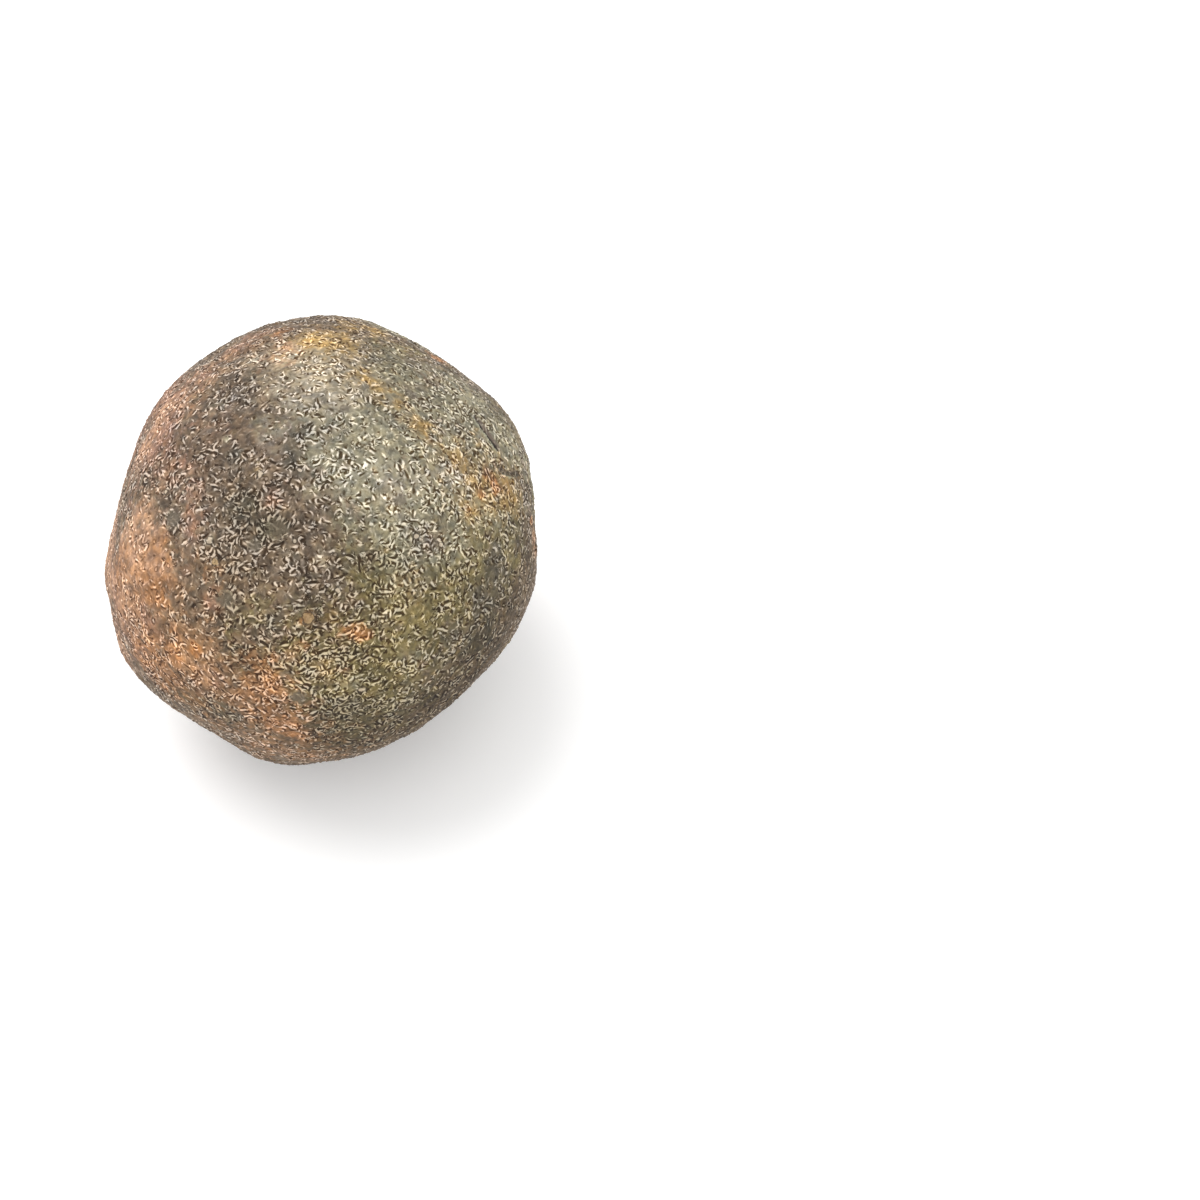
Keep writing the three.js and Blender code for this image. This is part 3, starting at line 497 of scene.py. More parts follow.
# the far side and underneath
BEHIND = {
    "sage": [
        ((0.3, 0.85, 0.4), 14, 0.6), ((-0.1, 0.98, -0.1), 12, 0.6), ((0.9, 0.35, -0.1), 12, 0.55), ((0.3, 0.3, -0.9), 14, 0.5),
        ((0.1, -0.55, -0.83), 10, 0.4), ((0.35, 0.75, 0.55), 6, 0.8), ((0.1, 0.9, 0.4), 5, 0.7), ((-0.15, 0.97, -0.15), 6, 0.8),
        ((0.9, 0.4, 0.1), 6, 0.7), ((-0.55, 0.8, 0.15), 4, 0.6), ((0.6, -0.2, -0.75), 6, 0.6), ((-0.35, 0.75, -0.55), 5, 0.6),
        ((0.97, 0.15, 0.2), 4, 0.6), ((0.2, 0.2, -0.95), 6, 0.6),
    ],
    "cream": [
        ((-0.35, 0.9, 0.05), 9, 0.5), ((0.6, 0.45, -0.66), 9, 0.4), ((-0.2, 0.97, 0.05), 4, 0.8), ((0.3, 0.85, -0.4), 5, 0.7),
        ((-0.6, -0.1, -0.8), 6, 0.7), ((0.7, 0.68, 0.2), 3, 0.6), ((-0.95, 0.25, 0.05), 3, 0.5), ((0.2, -0.5, -0.85), 4, 0.5),
        ((0.05, 0.95, 0.3), 2, 0.7), ((-0.7, 0.7, 0.1), 2, 0.7),
    ],
    "olive": [
        ((0.7, 0.7, 0.0), 15, 0.7), ((0.45, 0.8, -0.35), 12, 0.6), ((-0.15, 0.65, -0.75), 13, 0.6), ((0.7, -0.3, -0.65), 14, 0.6),
        ((-0.6, 0.75, 0.25), 9, 0.4), ((0.75, 0.6, 0.1), 6, 0.8), ((0.95, 0.1, 0.1), 5, 0.7), ((0.45, 0.9, 0.05), 5, 0.7),
        ((-0.8, 0.5, 0.3), 4, 0.6), ((-0.2, -0.3, -0.95), 6, 0.6), ((0.85, -0.4, -0.3), 5, 0.7), ((0.2, 0.9, -0.35), 4, 0.6),
    ],
    "tan": [
        ((-0.9, 0.2, 0.2), 14, 0.7), ((-0.6, 0.7, -0.4), 14, 0.7), ((0.75, 0.55, -0.4), 12, 0.6), ((-0.6, -0.5, -0.6), 13, 0.7),
        ((0.1, 0.95, 0.2), 8, 0.5), ((0.3, -0.3, -0.9), 10, 0.5), ((-0.3, -0.75, -0.6), 9, 0.5),
    ],
    "ochre": [
        ((0.05, 0.85, 0.5), 9, 0.4), ((0.85, 0.45, 0.25), 9, 0.4), ((-0.4, 0.6, -0.7), 8, 0.4), ((0.3, 0.9, 0.3), 4, 0.7),
        ((-0.1, 0.9, 0.35), 3, 0.7), ((0.85, 0.5, 0.1), 3, 0.7), ((0.5, 0.8, -0.35), 3, 0.7), ((-0.6, 0.72, 0.4), 3, 0.7),
        ((-0.95, 0.1, 0.2), 3, 0.6), ((0.7, 0.1, -0.7), 3, 0.6), ((0.9, 0.05, -0.4), 2.5, 0.6), ((-0.2, 0.85, -0.5), 3, 0.6),
    ],
    "umber_and_shade": [
        ((-0.2, 0.8, -0.5), 10, 0.4), ((0.95, -0.1, -0.3), 12, 0.45), ((-0.5, -0.3, -0.8), 12, 0.5), ((0.55, 0.6, 0.55), 8, 0.35),
        ((-0.3, 0.9, 0.3), 8, 0.35), ((-0.55, 0.65, 0.55), 4, 0.7), ((0.2, 0.95, 0.25), 4, 0.7), ((0.8, 0.55, -0.2), 4, 0.7),
        ((-0.7, 0.7, -0.2), 5, 0.7), ((-0.85, -0.2, -0.5), 5, 0.6), ((0.4, 0.1, -0.9), 6, 0.6), ((0.0, 0.9, -0.45), 4, 0.7),
    ],
    "rust": [
        ((-0.93, 0.3, -0.2), 8, 0.5), ((0.75, 0.55, -0.4), 7, 0.5), ((-0.9, 0.3, -0.3), 4, 0.9), ((-0.85, 0.15, -0.2), 3, 0.8),
        ((0.1, 0.98, 0.2), 3, 0.8), ((0.8, 0.5, -0.35), 3, 0.9), ((-0.5, 0.8, -0.35), 3, 0.8), ((-0.7, -0.4, -0.6), 4, 0.8),
        ((0.3, -0.3, -0.9), 4, 0.6), ((0.55, 0.6, 0.58), 3, 0.7), ((-0.35, 0.92, -0.05), 2.5, 0.8), ((0.65, 0.75, 0.05), 2, 0.7),
        ((0.98, -0.1, 0.1), 3, 0.6),
    ],
    "grey_and_shade": [
        ((-0.75, 0.6, 0.2), 4, 0.8), ((0.5, 0.85, 0.2), 4, 0.9), ((0.95, -0.05, -0.3), 4, 0.8), ((-0.3, 0.5, -0.8), 4, 0.8),
        ((-0.3, -0.6, -0.75), 4, 0.7), ((0.0, 0.8, 0.6), 3, 0.7), ((-0.1, 0.99, 0.1), 3, 0.8), ((0.7, 0.3, 0.0), 4, 0.6),
        ((-0.9, 0.1, -0.4), 3, 0.7), ((0.5, 0.4, -0.8), 4, 0.7), ((0.3, 0.95, -0.1), 3, 0.7), ((0.6, 0.75, -0.3), 2.5, 0.8),
    ],
    "violet": [
        ((0.55, 0.8, 0.35), 4, 0.6), ((-0.4, 0.85, 0.4), 4, 0.6), ((0.1, 0.95, -0.3), 4, 0.6), ((0.9, 0.3, -0.3), 4, 0.6),
        ((-0.5, 0.3, -0.8), 5, 0.6), ((0.2, -0.1, -0.98), 5, 0.6),
    ],
    "orange": [
        ((-0.9, 0.32, -0.26), 1.7, 0.9), ((0.1, 0.98, 0.2), 1.4, 0.9), ((0.8, 0.5, -0.35), 1.5, 0.9), ((-0.5, 0.8, -0.35), 1.4, 0.8),
        ((-0.75, 0.65, 0.1), 1.1, 0.8), ((0.4, 0.9, 0.15), 1.2, 0.8), ((0.1, 0.75, -0.65), 1.4, 0.8), ((0.93, 0.25, -0.25), 1.2, 0.7),
        ((0.97, -0.05, 0.2), 1.2, 0.8), ((-0.3, -0.75, -0.6), 1.4, 0.7),
    ],
    "rosy": [
        ((-0.8, 0.5, 0.35), 14, 0.65), ((-0.9, 0.1, -0.4), 12, 0.6), ((-0.45, 0.85, 0.3), 9, 0.5), ((0.1, 0.8, -0.6), 10, 0.4),
        ((-0.9, 0.3, 0.3), 6, 0.8), ((-0.7, 0.4, 0.6), 5, 0.7), ((-0.95, -0.1, -0.25), 6, 0.7), ((-0.6, 0.75, -0.3), 5, 0.6),
        ((0.65, 0.7, -0.3), 5, 0.6), ((0.05, -0.6, -0.8), 6, 0.6), ((0.97, 0.2, -0.1), 3, 0.6), ((-0.2, 0.9, 0.4), 3, 0.6),
        ((-0.97, -0.1, 0.1), 13, 0.45), ((-0.9, -0.4, -0.15), 12, 0.45),
    ],
    "peach": [
        ((-0.95, 0.25, 0.1), 8, 0.5), ((-0.85, 0.0, -0.5), 7, 0.45), ((0.15, 0.97, 0.1), 5, 0.4), ((-0.6, -0.6, -0.5), 6, 0.4),
        ((-0.97, -0.15, 0.0), 9, 0.5), ((-0.985, -0.12, -0.06), 8, 0.4), ((-0.98, -0.02, 0.03), 7, 0.3),
        ((-0.92, -0.38, -0.1), 9, 0.5), ((-0.85, -0.5, -0.2), 7, 0.35), ((-0.98, 0.08, 0.18), 7, 0.4),
    ],
}
wander = np.stack([bend.layered(ball / 2.6 + 40 * n, 3) for n in range(3)], 1)
strayed = unit(directions + 0.022 * wander)
ragged = busy_noise.layered(ball / 1.3, 3)


def stain(spots, seed, stray):
    """0 to 1: how much of a pigment lies at each point, thinning out raggedly, with stray dabs all over."""
    bare = np.ones(len(directions))
    for centre, spread, strength in spots:
        bare *= 1 - strength * bell(strayed, centre, spread)
    there = (1 - bare) * (1 + 0.4 * ragged)
    dabs = smooth(0.25, 0.95, Noise(seed).layered(ball / 1.5, 3))
    return np.clip(there + stray * dabs, 0, 1)


# ---------------------------------------------------------------------------------------------
# Mesh
# ---------------------------------------------------------------------------------------------
mesh = bpy.data.meshes.new("moqui_marble_stone")
mesh.vertices.add(len(surface))
mesh.vertices.foreach_set("co", (surface * MM).astype(np.float32).ravel())
mesh.loops.add(len(faces) * 3)
mesh.loops.foreach_set("vertex_index", faces.astype(np.int32).ravel())
mesh.polygons.add(len(faces))
mesh.polygons.foreach_set("loop_start", np.arange(0, len(faces) * 3, 3, dtype=np.int32))
mesh.update(calc_edges=True)

# grains are smooth domes with a crease between one and the next
ends = np.zeros(len(mesh.edges) * 2, np.int32)
mesh.edges.foreach_get("vertices", ends)
ends = np.sort(ends.reshape(-1, 2), 1)
low, high = np.minimum(left, right), np.maximum(left, right)
inside = set(zip(low[cemented].tolist(), high[cemented].tolist()))
between = (ends >= n_peaks).all(1)
between[between] = [tuple(e) not in inside for e in ends[between].tolist()]
mesh.attributes.new("sharp_edge", "BOOLEAN", "EDGE").data.foreach_set("value", between)


def store(name, domain, values):
    attribute = mesh.attributes.new(name, "FLOAT", domain)
    attribute.data.foreach_set("value", np.asarray(values, np.float32))


store("valley", "POINT", np.concatenate([np.zeros(n_peaks), 1 - 0.6 * soft]))
BUSIER = (
    ((0.05, -0.93, 0.33), 17, 0.7), ((-0.68, -0.53, 0.5), 8, -0.8), ((-0.88, -0.4, 0.25), 10, -0.6),
    ((0.9, -0.1, 0.42), 12, 0.8), ((0.1, 0.5, 0.86), 16, 0.3), ((0.13, -0.94, 0.33), 14, 0.5),
    ((0.58, -0.31, 0.76), 10, 0.5), ((-0.33, -0.11, 0.94), 8, 0.4),
    ((-0.01, 0.04, 1), 9, -0.7), ((-0.22, -0.12, 0.97), 5, -1), ((0.68, 0.11, 0.73), 5, 1),
    ((-0.35, -0.24, 0.91), 5, -0.6), ((0.19, -0.28, 0.94), 5, 0.9), ((0.31, -0.25, 0.92), 4, -0.7),
    ((-0.48, -0.33, 0.82), 5, 0.7), ((-0.2, -0.4, 0.9), 5, 1), ((0.19, -0.41, 0.89), 4, 0.6),
    ((0.43, -0.35, 0.83), 5, -1.1), ((0.56, -0.31, 0.77), 5, 0.8), ((0.19, -0.53, 0.83), 5, -0.8),
    ((-0.46, -0.56, 0.69), 5, -0.8), ((-0.32, -0.6, 0.73), 5, 0.6), ((-0.19, -0.62, 0.76), 5, 1.2),
    ((0.06, -0.63, 0.77), 5, 0.5), ((0.39, -0.58, 0.71), 6, 0.5), ((0.19, -0.72, 0.67), 5, -0.7),
    ((0.44, -0.67, 0.6), 5, 0.6), ((-0.31, -0.77, 0.55), 5, 0.8), ((-0.19, -0.79, 0.58), 4, -0.9),
    ((0.06, -0.81, 0.59), 5, -0.9), ((0.19, -0.8, 0.57), 5, 0.8), ((0.43, -0.75, 0.51), 5, 0.6),
    ((0.61, -0.67, 0.42), 6, 0.6), ((-0.17, -0.87, 0.47), 4, 0.5), ((-0.07, -0.87, 0.48), 5, 0.9),
    ((0.54, -0.77, 0.34), 5, -1.1), ((0.66, -0.71, 0.24), 5, 0.9), ((-0.07, -0.93, 0.36), 5, 0.2),
    ((0.41, -0.87, 0.27), 5, 0.3), ((0.22, -0.96, 0.18), 7, 0.4), ((0.28, -0.96, -0.04), 5, 0.2),
    ((-0.89, -0.36, 0.27), 6, -0.8),
)
store("busy", "POINT", busy_noise.layered(ball / 2.2, 2) + sum(a * bell(directions, c, w) for c, w, a in BUSIER))
# broad places a little darker (+) or lighter (-) than the rest; the darker ones low on the front, on the lower right
# and near the top on the right are painted shade, as other stones and the floor would cast
TONE_AND_SHADE = (
    ((0.19, -0.98, -0.07), 8, 0.75), ((0.38, -0.89, -0.24), 8, 0.75), ((0.09, -0.97, -0.21), 7, 0.45),
    ((-0.4, -0.92, 0.01), 6, 0.7), ((-0.24, -0.92, 0.3), 5, 0.6), ((0.59, -0.8, -0.12), 9, 0.9),
    ((0.8, -0.6, 0.05), 9, 0.9), ((0.96, -0.26, 0.13), 8, 0.7), ((0.37, 0.23, 0.9), 6, 0.5),
    ((0.06, -0.83, 0.55), 5, 0.5), ((-0.32, -0.69, 0.65), 5, 0.4), ((-0.07, -0.6, 0.8), 4, 0.7),
    ((-0.03, 0.31, 0.95), 6, -0.7), ((0.17, 0.04, 0.99), 5, -0.5), ((0.2, -0.19, 0.96), 5, -0.5),
    ((0.39, -0.49, 0.78), 6, -0.4), ((0.45, -0.27, 0.85), 7, -0.25), ((0.7, -0.18, 0.69), 5, -0.4),
    ((-0.43, -0.88, 0.23), 5, -0.5), ((-0.5, -0.83, 0.25), 4, -0.4), ((-0.69, 0.21, 0.69), 5, -0.6),
    ((-0.77, 0.01, 0.64), 4, -0.6), ((0.68, -0.43, 0.59), 5, -0.45), ((-0.06, -0.78, 0.62), 4, -0.6),
    ((-0.47, 0.15, 0.87), 5, -0.8), ((-0.35, 0.01, 0.94), 4, 0.35), ((0.09, -0.1, 0.99), 4, 0.7),
    ((0.35, -0.68, 0.64), 5, 0.4), ((0.69, -0.56, 0.46), 5, 0.5), ((-0.54, -0.84, 0), 5, 0.5),
    ((-0.01, 0.14, 0.99), 4, -0.4), ((-0.23, -0.81, 0.53), 4, 0.5), ((0.34, -0.84, 0.42), 4, -0.4),
    ((-0.25, -0.45, 0.86), 5, 0.5), ((0.1, -0.68, 0.73), 4, -0.5),
    ((-0.48, -0.86, 0.16), 4, -0.4), ((-0.41, -0.13, 0.9), 5, -0.5), ((0.26, -0.44, 0.86), 4, -0.3),
    ((-0.77, -0.39, 0.51), 6, -0.35), ((-0.67, -0.28, 0.69), 6, -0.4), ((-0.76, -0.56, 0.34), 5, -0.3),
    ((-0.16, 0.01, 0.99), 6, -0.35), ((-0.11, -0.78, 0.62), 4, -0.35), ((0.09, -0.95, 0.31), 4, -0.4),
    ((0.17, -0.98, 0.08), 4, 0.4), ((0.03, 0.47, 0.88), 4, -0.6), ((-0.2, -0.55, 0.81), 4, 0.3),
    ((0.35, -0.66, 0.67), 4, 0.35), ((0.35, -0.27, 0.9), 5, -0.25),
)
# broad places a little warmer (+) or cooler (-)
WARMER = (
    ((-0.7, -0.64, 0.31), 12, 0.8), ((-0.24, -0.88, 0.42), 12, 0.8), ((0.21, -0.93, 0.29), 13, 1),
    ((-0.3, -0.7, 0.65), 8, 0.5), ((0.47, -0.65, 0.6), 10, 0.5), ((0.19, -0.62, 0.76), 6, 0.5),
    ((-0.64, -0.3, 0.71), 6, 0.5), ((0.85, -0.18, 0.5), 7, 0.6), ((0.01, -0.19, 0.98), 9, -0.4),
    ((0.25, -0.39, 0.89), 6, -0.5), ((0.45, -0.39, 0.8), 5, -0.4), ((0.71, -0.21, 0.68), 6, -0.7),
    ((-0.61, -0.03, 0.79), 6, -0.5), ((0.08, -0.03, 1), 5, -0.25),
    ((-0.98, -0.17, -0.02), 9, 0.8),
)
store("warm", "POINT", sum(a * bell(directions, c, w) for c, w, a in WARMER))
store("tone", "POINT", sum(a * bell(directions, c, w) for c, w, a in TONE_AND_SHADE))
store("rough", "POINT", rough)
lot = rng.uniform(0, 1, (2, n_peaks))[:, family][:, owner_of_face]
store("grain", "FACE", lot[0])
store("tint", "FACE", lot[1])
store("crease_side", "POINT", crease_side)
store("crease_on", "POINT", crease_on)
STRAY = {"orange": 0.1, "rust": 0.2, "peach": 0.2}
for k, name in enumerate(STAINS):
    store(name, "POINT", stain(STAINS[name] + BEHIND[name], 30 + k, STRAY.get(name, 0.28)))

# unwrapped like a cube: every grain lies whole on one of six sheets
lead = np.abs(peaks).argmax(1)
sheet = lead * 2 + (peaks[np.arange(n_peaks), lead] < 0)
corner = faces.ravel()
corner_sheet = np.repeat(sheet[family[owner_of_face]], 3)
axis = corner_sheet // 2
d = directions[corner]
main = np.abs(d[np.arange(len(corner)), axis])
u = np.arctan(d[np.arange(len(corner)), (axis + 1) % 3] / main) / (math.pi / 4)
v = np.arctan(d[np.arange(len(corner)), (axis + 2) % 3] / main) / (math.pi / 4)
u, v = 0.5 + 0.48 * u / 1.06, 0.5 + 0.48 * v / 1.06
uv = np.c_[(corner_sheet % 3 + u) / 3, (corner_sheet // 3 + v) / 2]
layer = mesh.uv_layers.new(name="OFBake")
layer.data.foreach_set("uv", uv.astype(np.float32).ravel())
mesh.validate()

stone = bpy.data.objects.new("moqui_marble_stone", mesh)
bpy.context.scene.collection.objects.link(stone)
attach(stone, "root")
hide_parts("moqui_marble")

# ---------------------------------------------------------------------------------------------
# Stone material
# ---------------------------------------------------------------------------------------------
skin = bpy.data.materials.new("rind")
skin.use_nodes = True
tree = skin.node_tree
shader = next(n for n in tree.nodes if n.type == "BSDF_PRINCIPLED")
place = tree.nodes.new("ShaderNodeTexCoord").outputs["Object"]


def plug(x, socket):
    if isinstance(x, (int, float)):
        socket.default_value = x
    elif isinstance(x, tuple):
        socket.default_value = (*x, 1)
    elif x is not None:
        tree.links.new(x, socket)


def value_of(name):
    node = tree.nodes.new("ShaderNodeAttribute")
    node.attribute_name = name
    return node.outputs["Fac"]


def calc(kind, a, b=None, c=None):
    node = tree.nodes.new("ShaderNodeMath")
    node.operation = kind
    for socket, x in zip(node.inputs, (a, b, c)):
        plug(x, socket)
    return node.outputs[0]


def ramp(x, low, high, to_low=0.0, to_high=1.0):
    node = tree.nodes.new("ShaderNodeMapRange")
    node.interpolation_type = "SMOOTHSTEP"
    for socket, y in zip(node.inputs, (x, low, high, to_low, to_high)):
        plug(y, socket)
    return node.outputs["Result"]


def mix(amount, a, b, blend="MIX"):
    node = tree.nodes.new("ShaderNodeMix")
    node.data_type = "RGBA"
    node.blend_type = blend
    for socket, x in ((node.inputs[0], amount), (node.inputs[6], a), (node.inputs[7], b)):
        plug(x, socket)
    return node.outputs[2]


def cloud(size, detail=1.0, rough_=0.5, distortion=0.0):
    """Soft noise, 0 to 1, with features about size mm across."""
    node = tree.nodes.new("ShaderNodeTexNoise")
    plug(place, node.inputs["Vector"])
    for name, x in (("Scale", 1 / (size * MM)), ("Detail", detail), ("Roughness", rough_), ("Distortion", distortion)):
        node.inputs[name].default_value = x
    return node.outputs["Fac"]


PIGMENTS = {
    "umber_and_shade": (0.1, 0.0697, 0.0482),
    "tan": (0.261, 0.154, 0.0886),
    "olive": (0.186, 0.151, 0.0713),
    "sage": (0.261, 0.238, 0.167),
    "cream": (0.327, 0.282, 0.209),
    "grey_and_shade": (0.104, 0.0868, 0.062),
    "violet": (0.192, 0.156, 0.13),
    "rosy": (0.261, 0.151, 0.104),
    "ochre": (0.327, 0.222, 0.1),
    "rust": (0.368, 0.192, 0.1),
    "orange": (0.421, 0.203, 0.0923),
    "peach": (0.394, 0.241, 0.159),
}
colour = mix(ramp(cloud(0.9, 2.0), 0.35, 0.65), (0.125, 0.0904, 0.0635), (0.186, 0.141, 0.1))
tint = value_of("tint")
for k, (name, pigment) in enumerate(PIGMENTS.items()):
    # each grain takes up more or less of each pigment
    taste = calc("FRACT", calc("MULTIPLY_ADD", tint, 17.3, 0.37 * k))
    there = value_of(name)
    there = calc("MULTIPLY_ADD", calc("SUBTRACT", taste, 0.5), calc("MULTIPLY", ramp(there, 0.0, 0.35), 0.35), there)
    colour = mix(ramp(there, 0.12, 0.95, 0.0, 0.95), colour, pigment)

# soft mottling, lighter and darker, warmer and cooler
mottle = ramp(cloud(0.62, 1.0), 0.28, 0.72)
colour = mix(1.0, colour, mix(mottle, (0.69, 0.70, 0.71), (1.29, 1.28, 1.25)), "MULTIPLY")
blotch = ramp(cloud(2.6, 2.0), 0.3, 0.7)
colour = mix(1.0, colour, mix(blotch, (0.80, 0.80, 0.80), (1.20, 1.20, 1.20)), "MULTIPLY")
warmth = ramp(cloud(0.8, 1.0, 0.5, 0.3), 0.3, 0.7)
colour = mix(1.0, colour, mix(warmth, (0.985, 1.0, 1.02), (1.035, 1.0, 0.925)), "MULTIPLY")

rich = tree.nodes.new("ShaderNodeHueSaturation")
rich.inputs["Saturation"].default_value = 1.1
plug(colour, rich.inputs["Color"])
colour = mix(1.0, rich.outputs["Color"], (0.916, 0.93, 0.966), "MULTIPLY")

# fine strokes: pale edges of grains beside thin dark gaps, in busy places, with plain spots between; partly the grains'
# own pale and dark colour, partly painted highlight on the edges and painted shade in the gaps, with painted glints on
# the brightest
STROKE_SLOPE = 0.17
gabor = tree.nodes.new("ShaderNodeTexGabor")
gabor.gabor_type = "3D"
ruffle = tree.nodes.new("ShaderNodeTexNoise")
plug(place, ruffle.inputs["Vector"])
ruffle.inputs["Scale"].default_value = 1 / (0.6 * MM)
ruffle.inputs["Detail"].default_value = 0.0
ruffled = tree.nodes.new("ShaderNodeVectorMath")
ruffled.operation = "MULTIPLY_ADD"
tree.links.new(ruffle.outputs["Color"], ruffled.inputs[0])
ruffled.inputs[1].default_value = (0.25 * MM,) * 3
tree.links.new(place, ruffled.inputs[2])
plug(ruffled.outputs[0], gabor.inputs["Vector"])
gabor.inputs["Scale"].default_value = 1350.0
gabor.inputs["Frequency"].default_value = 1.6
gabor.inputs["Anisotropy"].default_value = 0.95
# the strokes lie along the surface, turning this way and that
turning = tree.nodes.new("ShaderNodeTexNoise")
plug(place, turning.inputs["Vector"])
turning.inputs["Scale"].default_value = 1 / (0.7 * MM)
turning.inputs["Detail"].default_value = 0.0
centred = tree.nodes.new("ShaderNodeVectorMath")
centred.operation = "SUBTRACT"
tree.links.new(turning.outputs["Color"], centred.inputs[0])
centred.inputs[1].default_value = (0.5, 0.5, 0.5)
along = tree.nodes.new("ShaderNodeVectorMath")
along.operation = "CROSS_PRODUCT"
tree.links.new(centred.outputs[0], along.inputs[0])
normal = tree.nodes.new("ShaderNodeNewGeometry").outputs["Normal"]
tree.links.new(normal, along.inputs[1])
tree.links.new(along.outputs[0], gabor.inputs[5])
wave = calc("MULTIPLY_ADD", gabor.outputs["Value"], 12.0, -6.0)
busy = calc("MULTIPLY_ADD", value_of("busy"), 0.55, calc("MULTIPLY_ADD", cloud(1.4, 1.0), 2.9, -1.49))
fleck = calc("MULTIPLY_ADD", cloud(0.5, 0.0), 4.0, -2.0)
strong = ramp(calc("ADD", busy, fleck), -0.6, 1.4, 0.38, 2.56)
wave = calc("MULTIPLY", wave, strong)
light = ramp(wave, 0.0, 2.25)
shade = ramp(calc("MULTIPLY", wave, -1.0), 0.1, 2.2, 0.0, 0.96)
glint = ramp(wave, 1.3, 2.7)
grain = value_of("grain")
bright = mix(1.0, colour, (2.42, 2.4, 2.54), "MULTIPLY")
bright = mix(0.18, bright, (0.60, 0.56, 0.50))
# the colour of the painted glints
clear = mix(0.45, mix(1.0, colour, (3.4, 3.36, 3.55), "MULTIPLY"), (0.80, 0.75, 0.66))
clear.node.clamp_result = True
dim = mix(1.0, colour, (0.268, 0.178, 0.074), "MULTIPLY")
pale_grain = calc("MULTIPLY", ramp(grain, 0.8, 0.95), calc("SUBTRACT", 1.0, value_of("valley")))
colour = mix(calc("MULTIPLY", pale_grain, 0.2), colour, bright)
colour = mix(light, colour, bright)
colour = mix(calc("MULTIPLY", glint, 0.9), colour, clear)
colour = mix(shade, colour, dim)

# here and there a round grain stands clear, pale with a dark ring
beads = tree.nodes.new("ShaderNodeTexVoronoi")
plug(ruffled.outputs[0], beads.inputs["Vector"])
beads.inputs["Scale"].default_value = 1 / (0.62 * MM)
bead_at = beads.outputs["Distance"]
bead_lot = tree.nodes.new("ShaderNodeSeparateColor")
tree.links.new(beads.outputs["Color"], bead_lot.inputs[0])
bead_on = ramp(bead_lot.outputs[0], 0.84, 0.92)
bead_size = calc("MULTIPLY_ADD", bead_lot.outputs[1], 0.14, 0.16)
bead = calc("MULTIPLY", ramp(calc("SUBTRACT", bead_at, bead_size), 0.0, -0.09), bead_on)
ring = calc("MULTIPLY", ramp(calc("ABSOLUTE", calc("SUBTRACT", calc("SUBTRACT", bead_at, bead_size), 0.06)), 0.11, 0.04), bead_on)
colour = mix(calc("MULTIPLY", bead, 0.55), colour, bright)
colour = mix(calc("MULTIPLY", ring, 0.7), colour, dim)

def nearest(spots):
    """How far away the nearest of these is, as a part of its own radius."""
    least = 99.0
    for centre, size in spots:
        at = HEART + unit(centre) * broad_radius(unit([centre]))[0]
        node = tree.nodes.new("ShaderNodeVectorMath")
        node.operation = "DISTANCE"
        tree.links.new(ruffled.outputs[0], node.inputs[0])
        node.inputs[1].default_value = (at + 0.125) * MM
        least = calc("MINIMUM", least, calc("MULTIPLY", node.outputs["Value"], 1 / (size * MM)))
    return least


crumble = calc("MULTIPLY_ADD", cloud(0.25, 1.0), 0.9, -0.45)
bare_at = calc("ADD", nearest(BARE), crumble)
clear_at = calc("ADD", nearest([c for c in CLEAR if c[1] < 0.32]), crumble)
tan_at = calc("ADD", nearest([c for c in CLEAR if c[1] >= 0.32]), crumble)
colour = mix(calc("MULTIPLY", ramp(bare_at, 1.05, 0.75), 0.75), colour, (0.15, 0.125, 0.092))
colour = mix(calc("MULTIPLY", ramp(calc("ABSOLUTE", calc("SUBTRACT", bare_at, 1.1)), 0.16, 0.05), calc("MULTIPLY", mottle, 0.5)), colour, (0.38, 0.34, 0.25))
colour = mix(calc("MULTIPLY", ramp(calc("ABSOLUTE", calc("SUBTRACT", clear_at, 1.15)), 0.3, 0.1), 0.7), colour, (0.07, 0.055, 0.04))
colour = mix(calc("MULTIPLY", ramp(clear_at, 1.0, 0.6), 0.85), colour, (0.60, 0.50, 0.38))
colour = mix(calc("MULTIPLY", ramp(calc("ABSOLUTE", calc("SUBTRACT", tan_at, 1.1)), 0.25, 0.08), 0.7), colour, (0.08, 0.058, 0.038))
colour = mix(calc("MULTIPLY", ramp(tan_at, 1.0, 0.8), 0.9), colour, mix(mottle, (0.30, 0.19, 0.095), (0.50, 0.355, 0.20)))

# the crease: a dark line of painted shade in it, a light lip on one side painted as a highlight, and a brown strip on
# the other
across = calc("ADD", value_of("crease_side"), calc("MULTIPLY_ADD", cloud(0.6, 1.0), 0.24, -0.12))
here = value_of("crease_on")
lip = calc("MULTIPLY", ramp(across, 0.1, 0.22), ramp(across, 0.75, 0.35))
brown = calc("MULTIPLY", ramp(across, -0.05, -0.2), ramp(across, -0.9, -0.5))
crack_shade = calc("MULTIPLY", ramp(calc("ABSOLUTE", across), 0.34, 0.14), here)
# painted highlight on the lip
colour = mix(calc("MULTIPLY", calc("MULTIPLY", lip, here), 0.8), colour, (0.35, 0.345, 0.24))
colour = mix(calc("MULTIPLY", calc("MULTIPLY", brown, here), 0.8), colour, (0.15, 0.11, 0.085))
# painted shade in the crease
colour = mix(calc("MULTIPLY", crack_shade, 0.97), colour, (0.03, 0.023, 0.017))
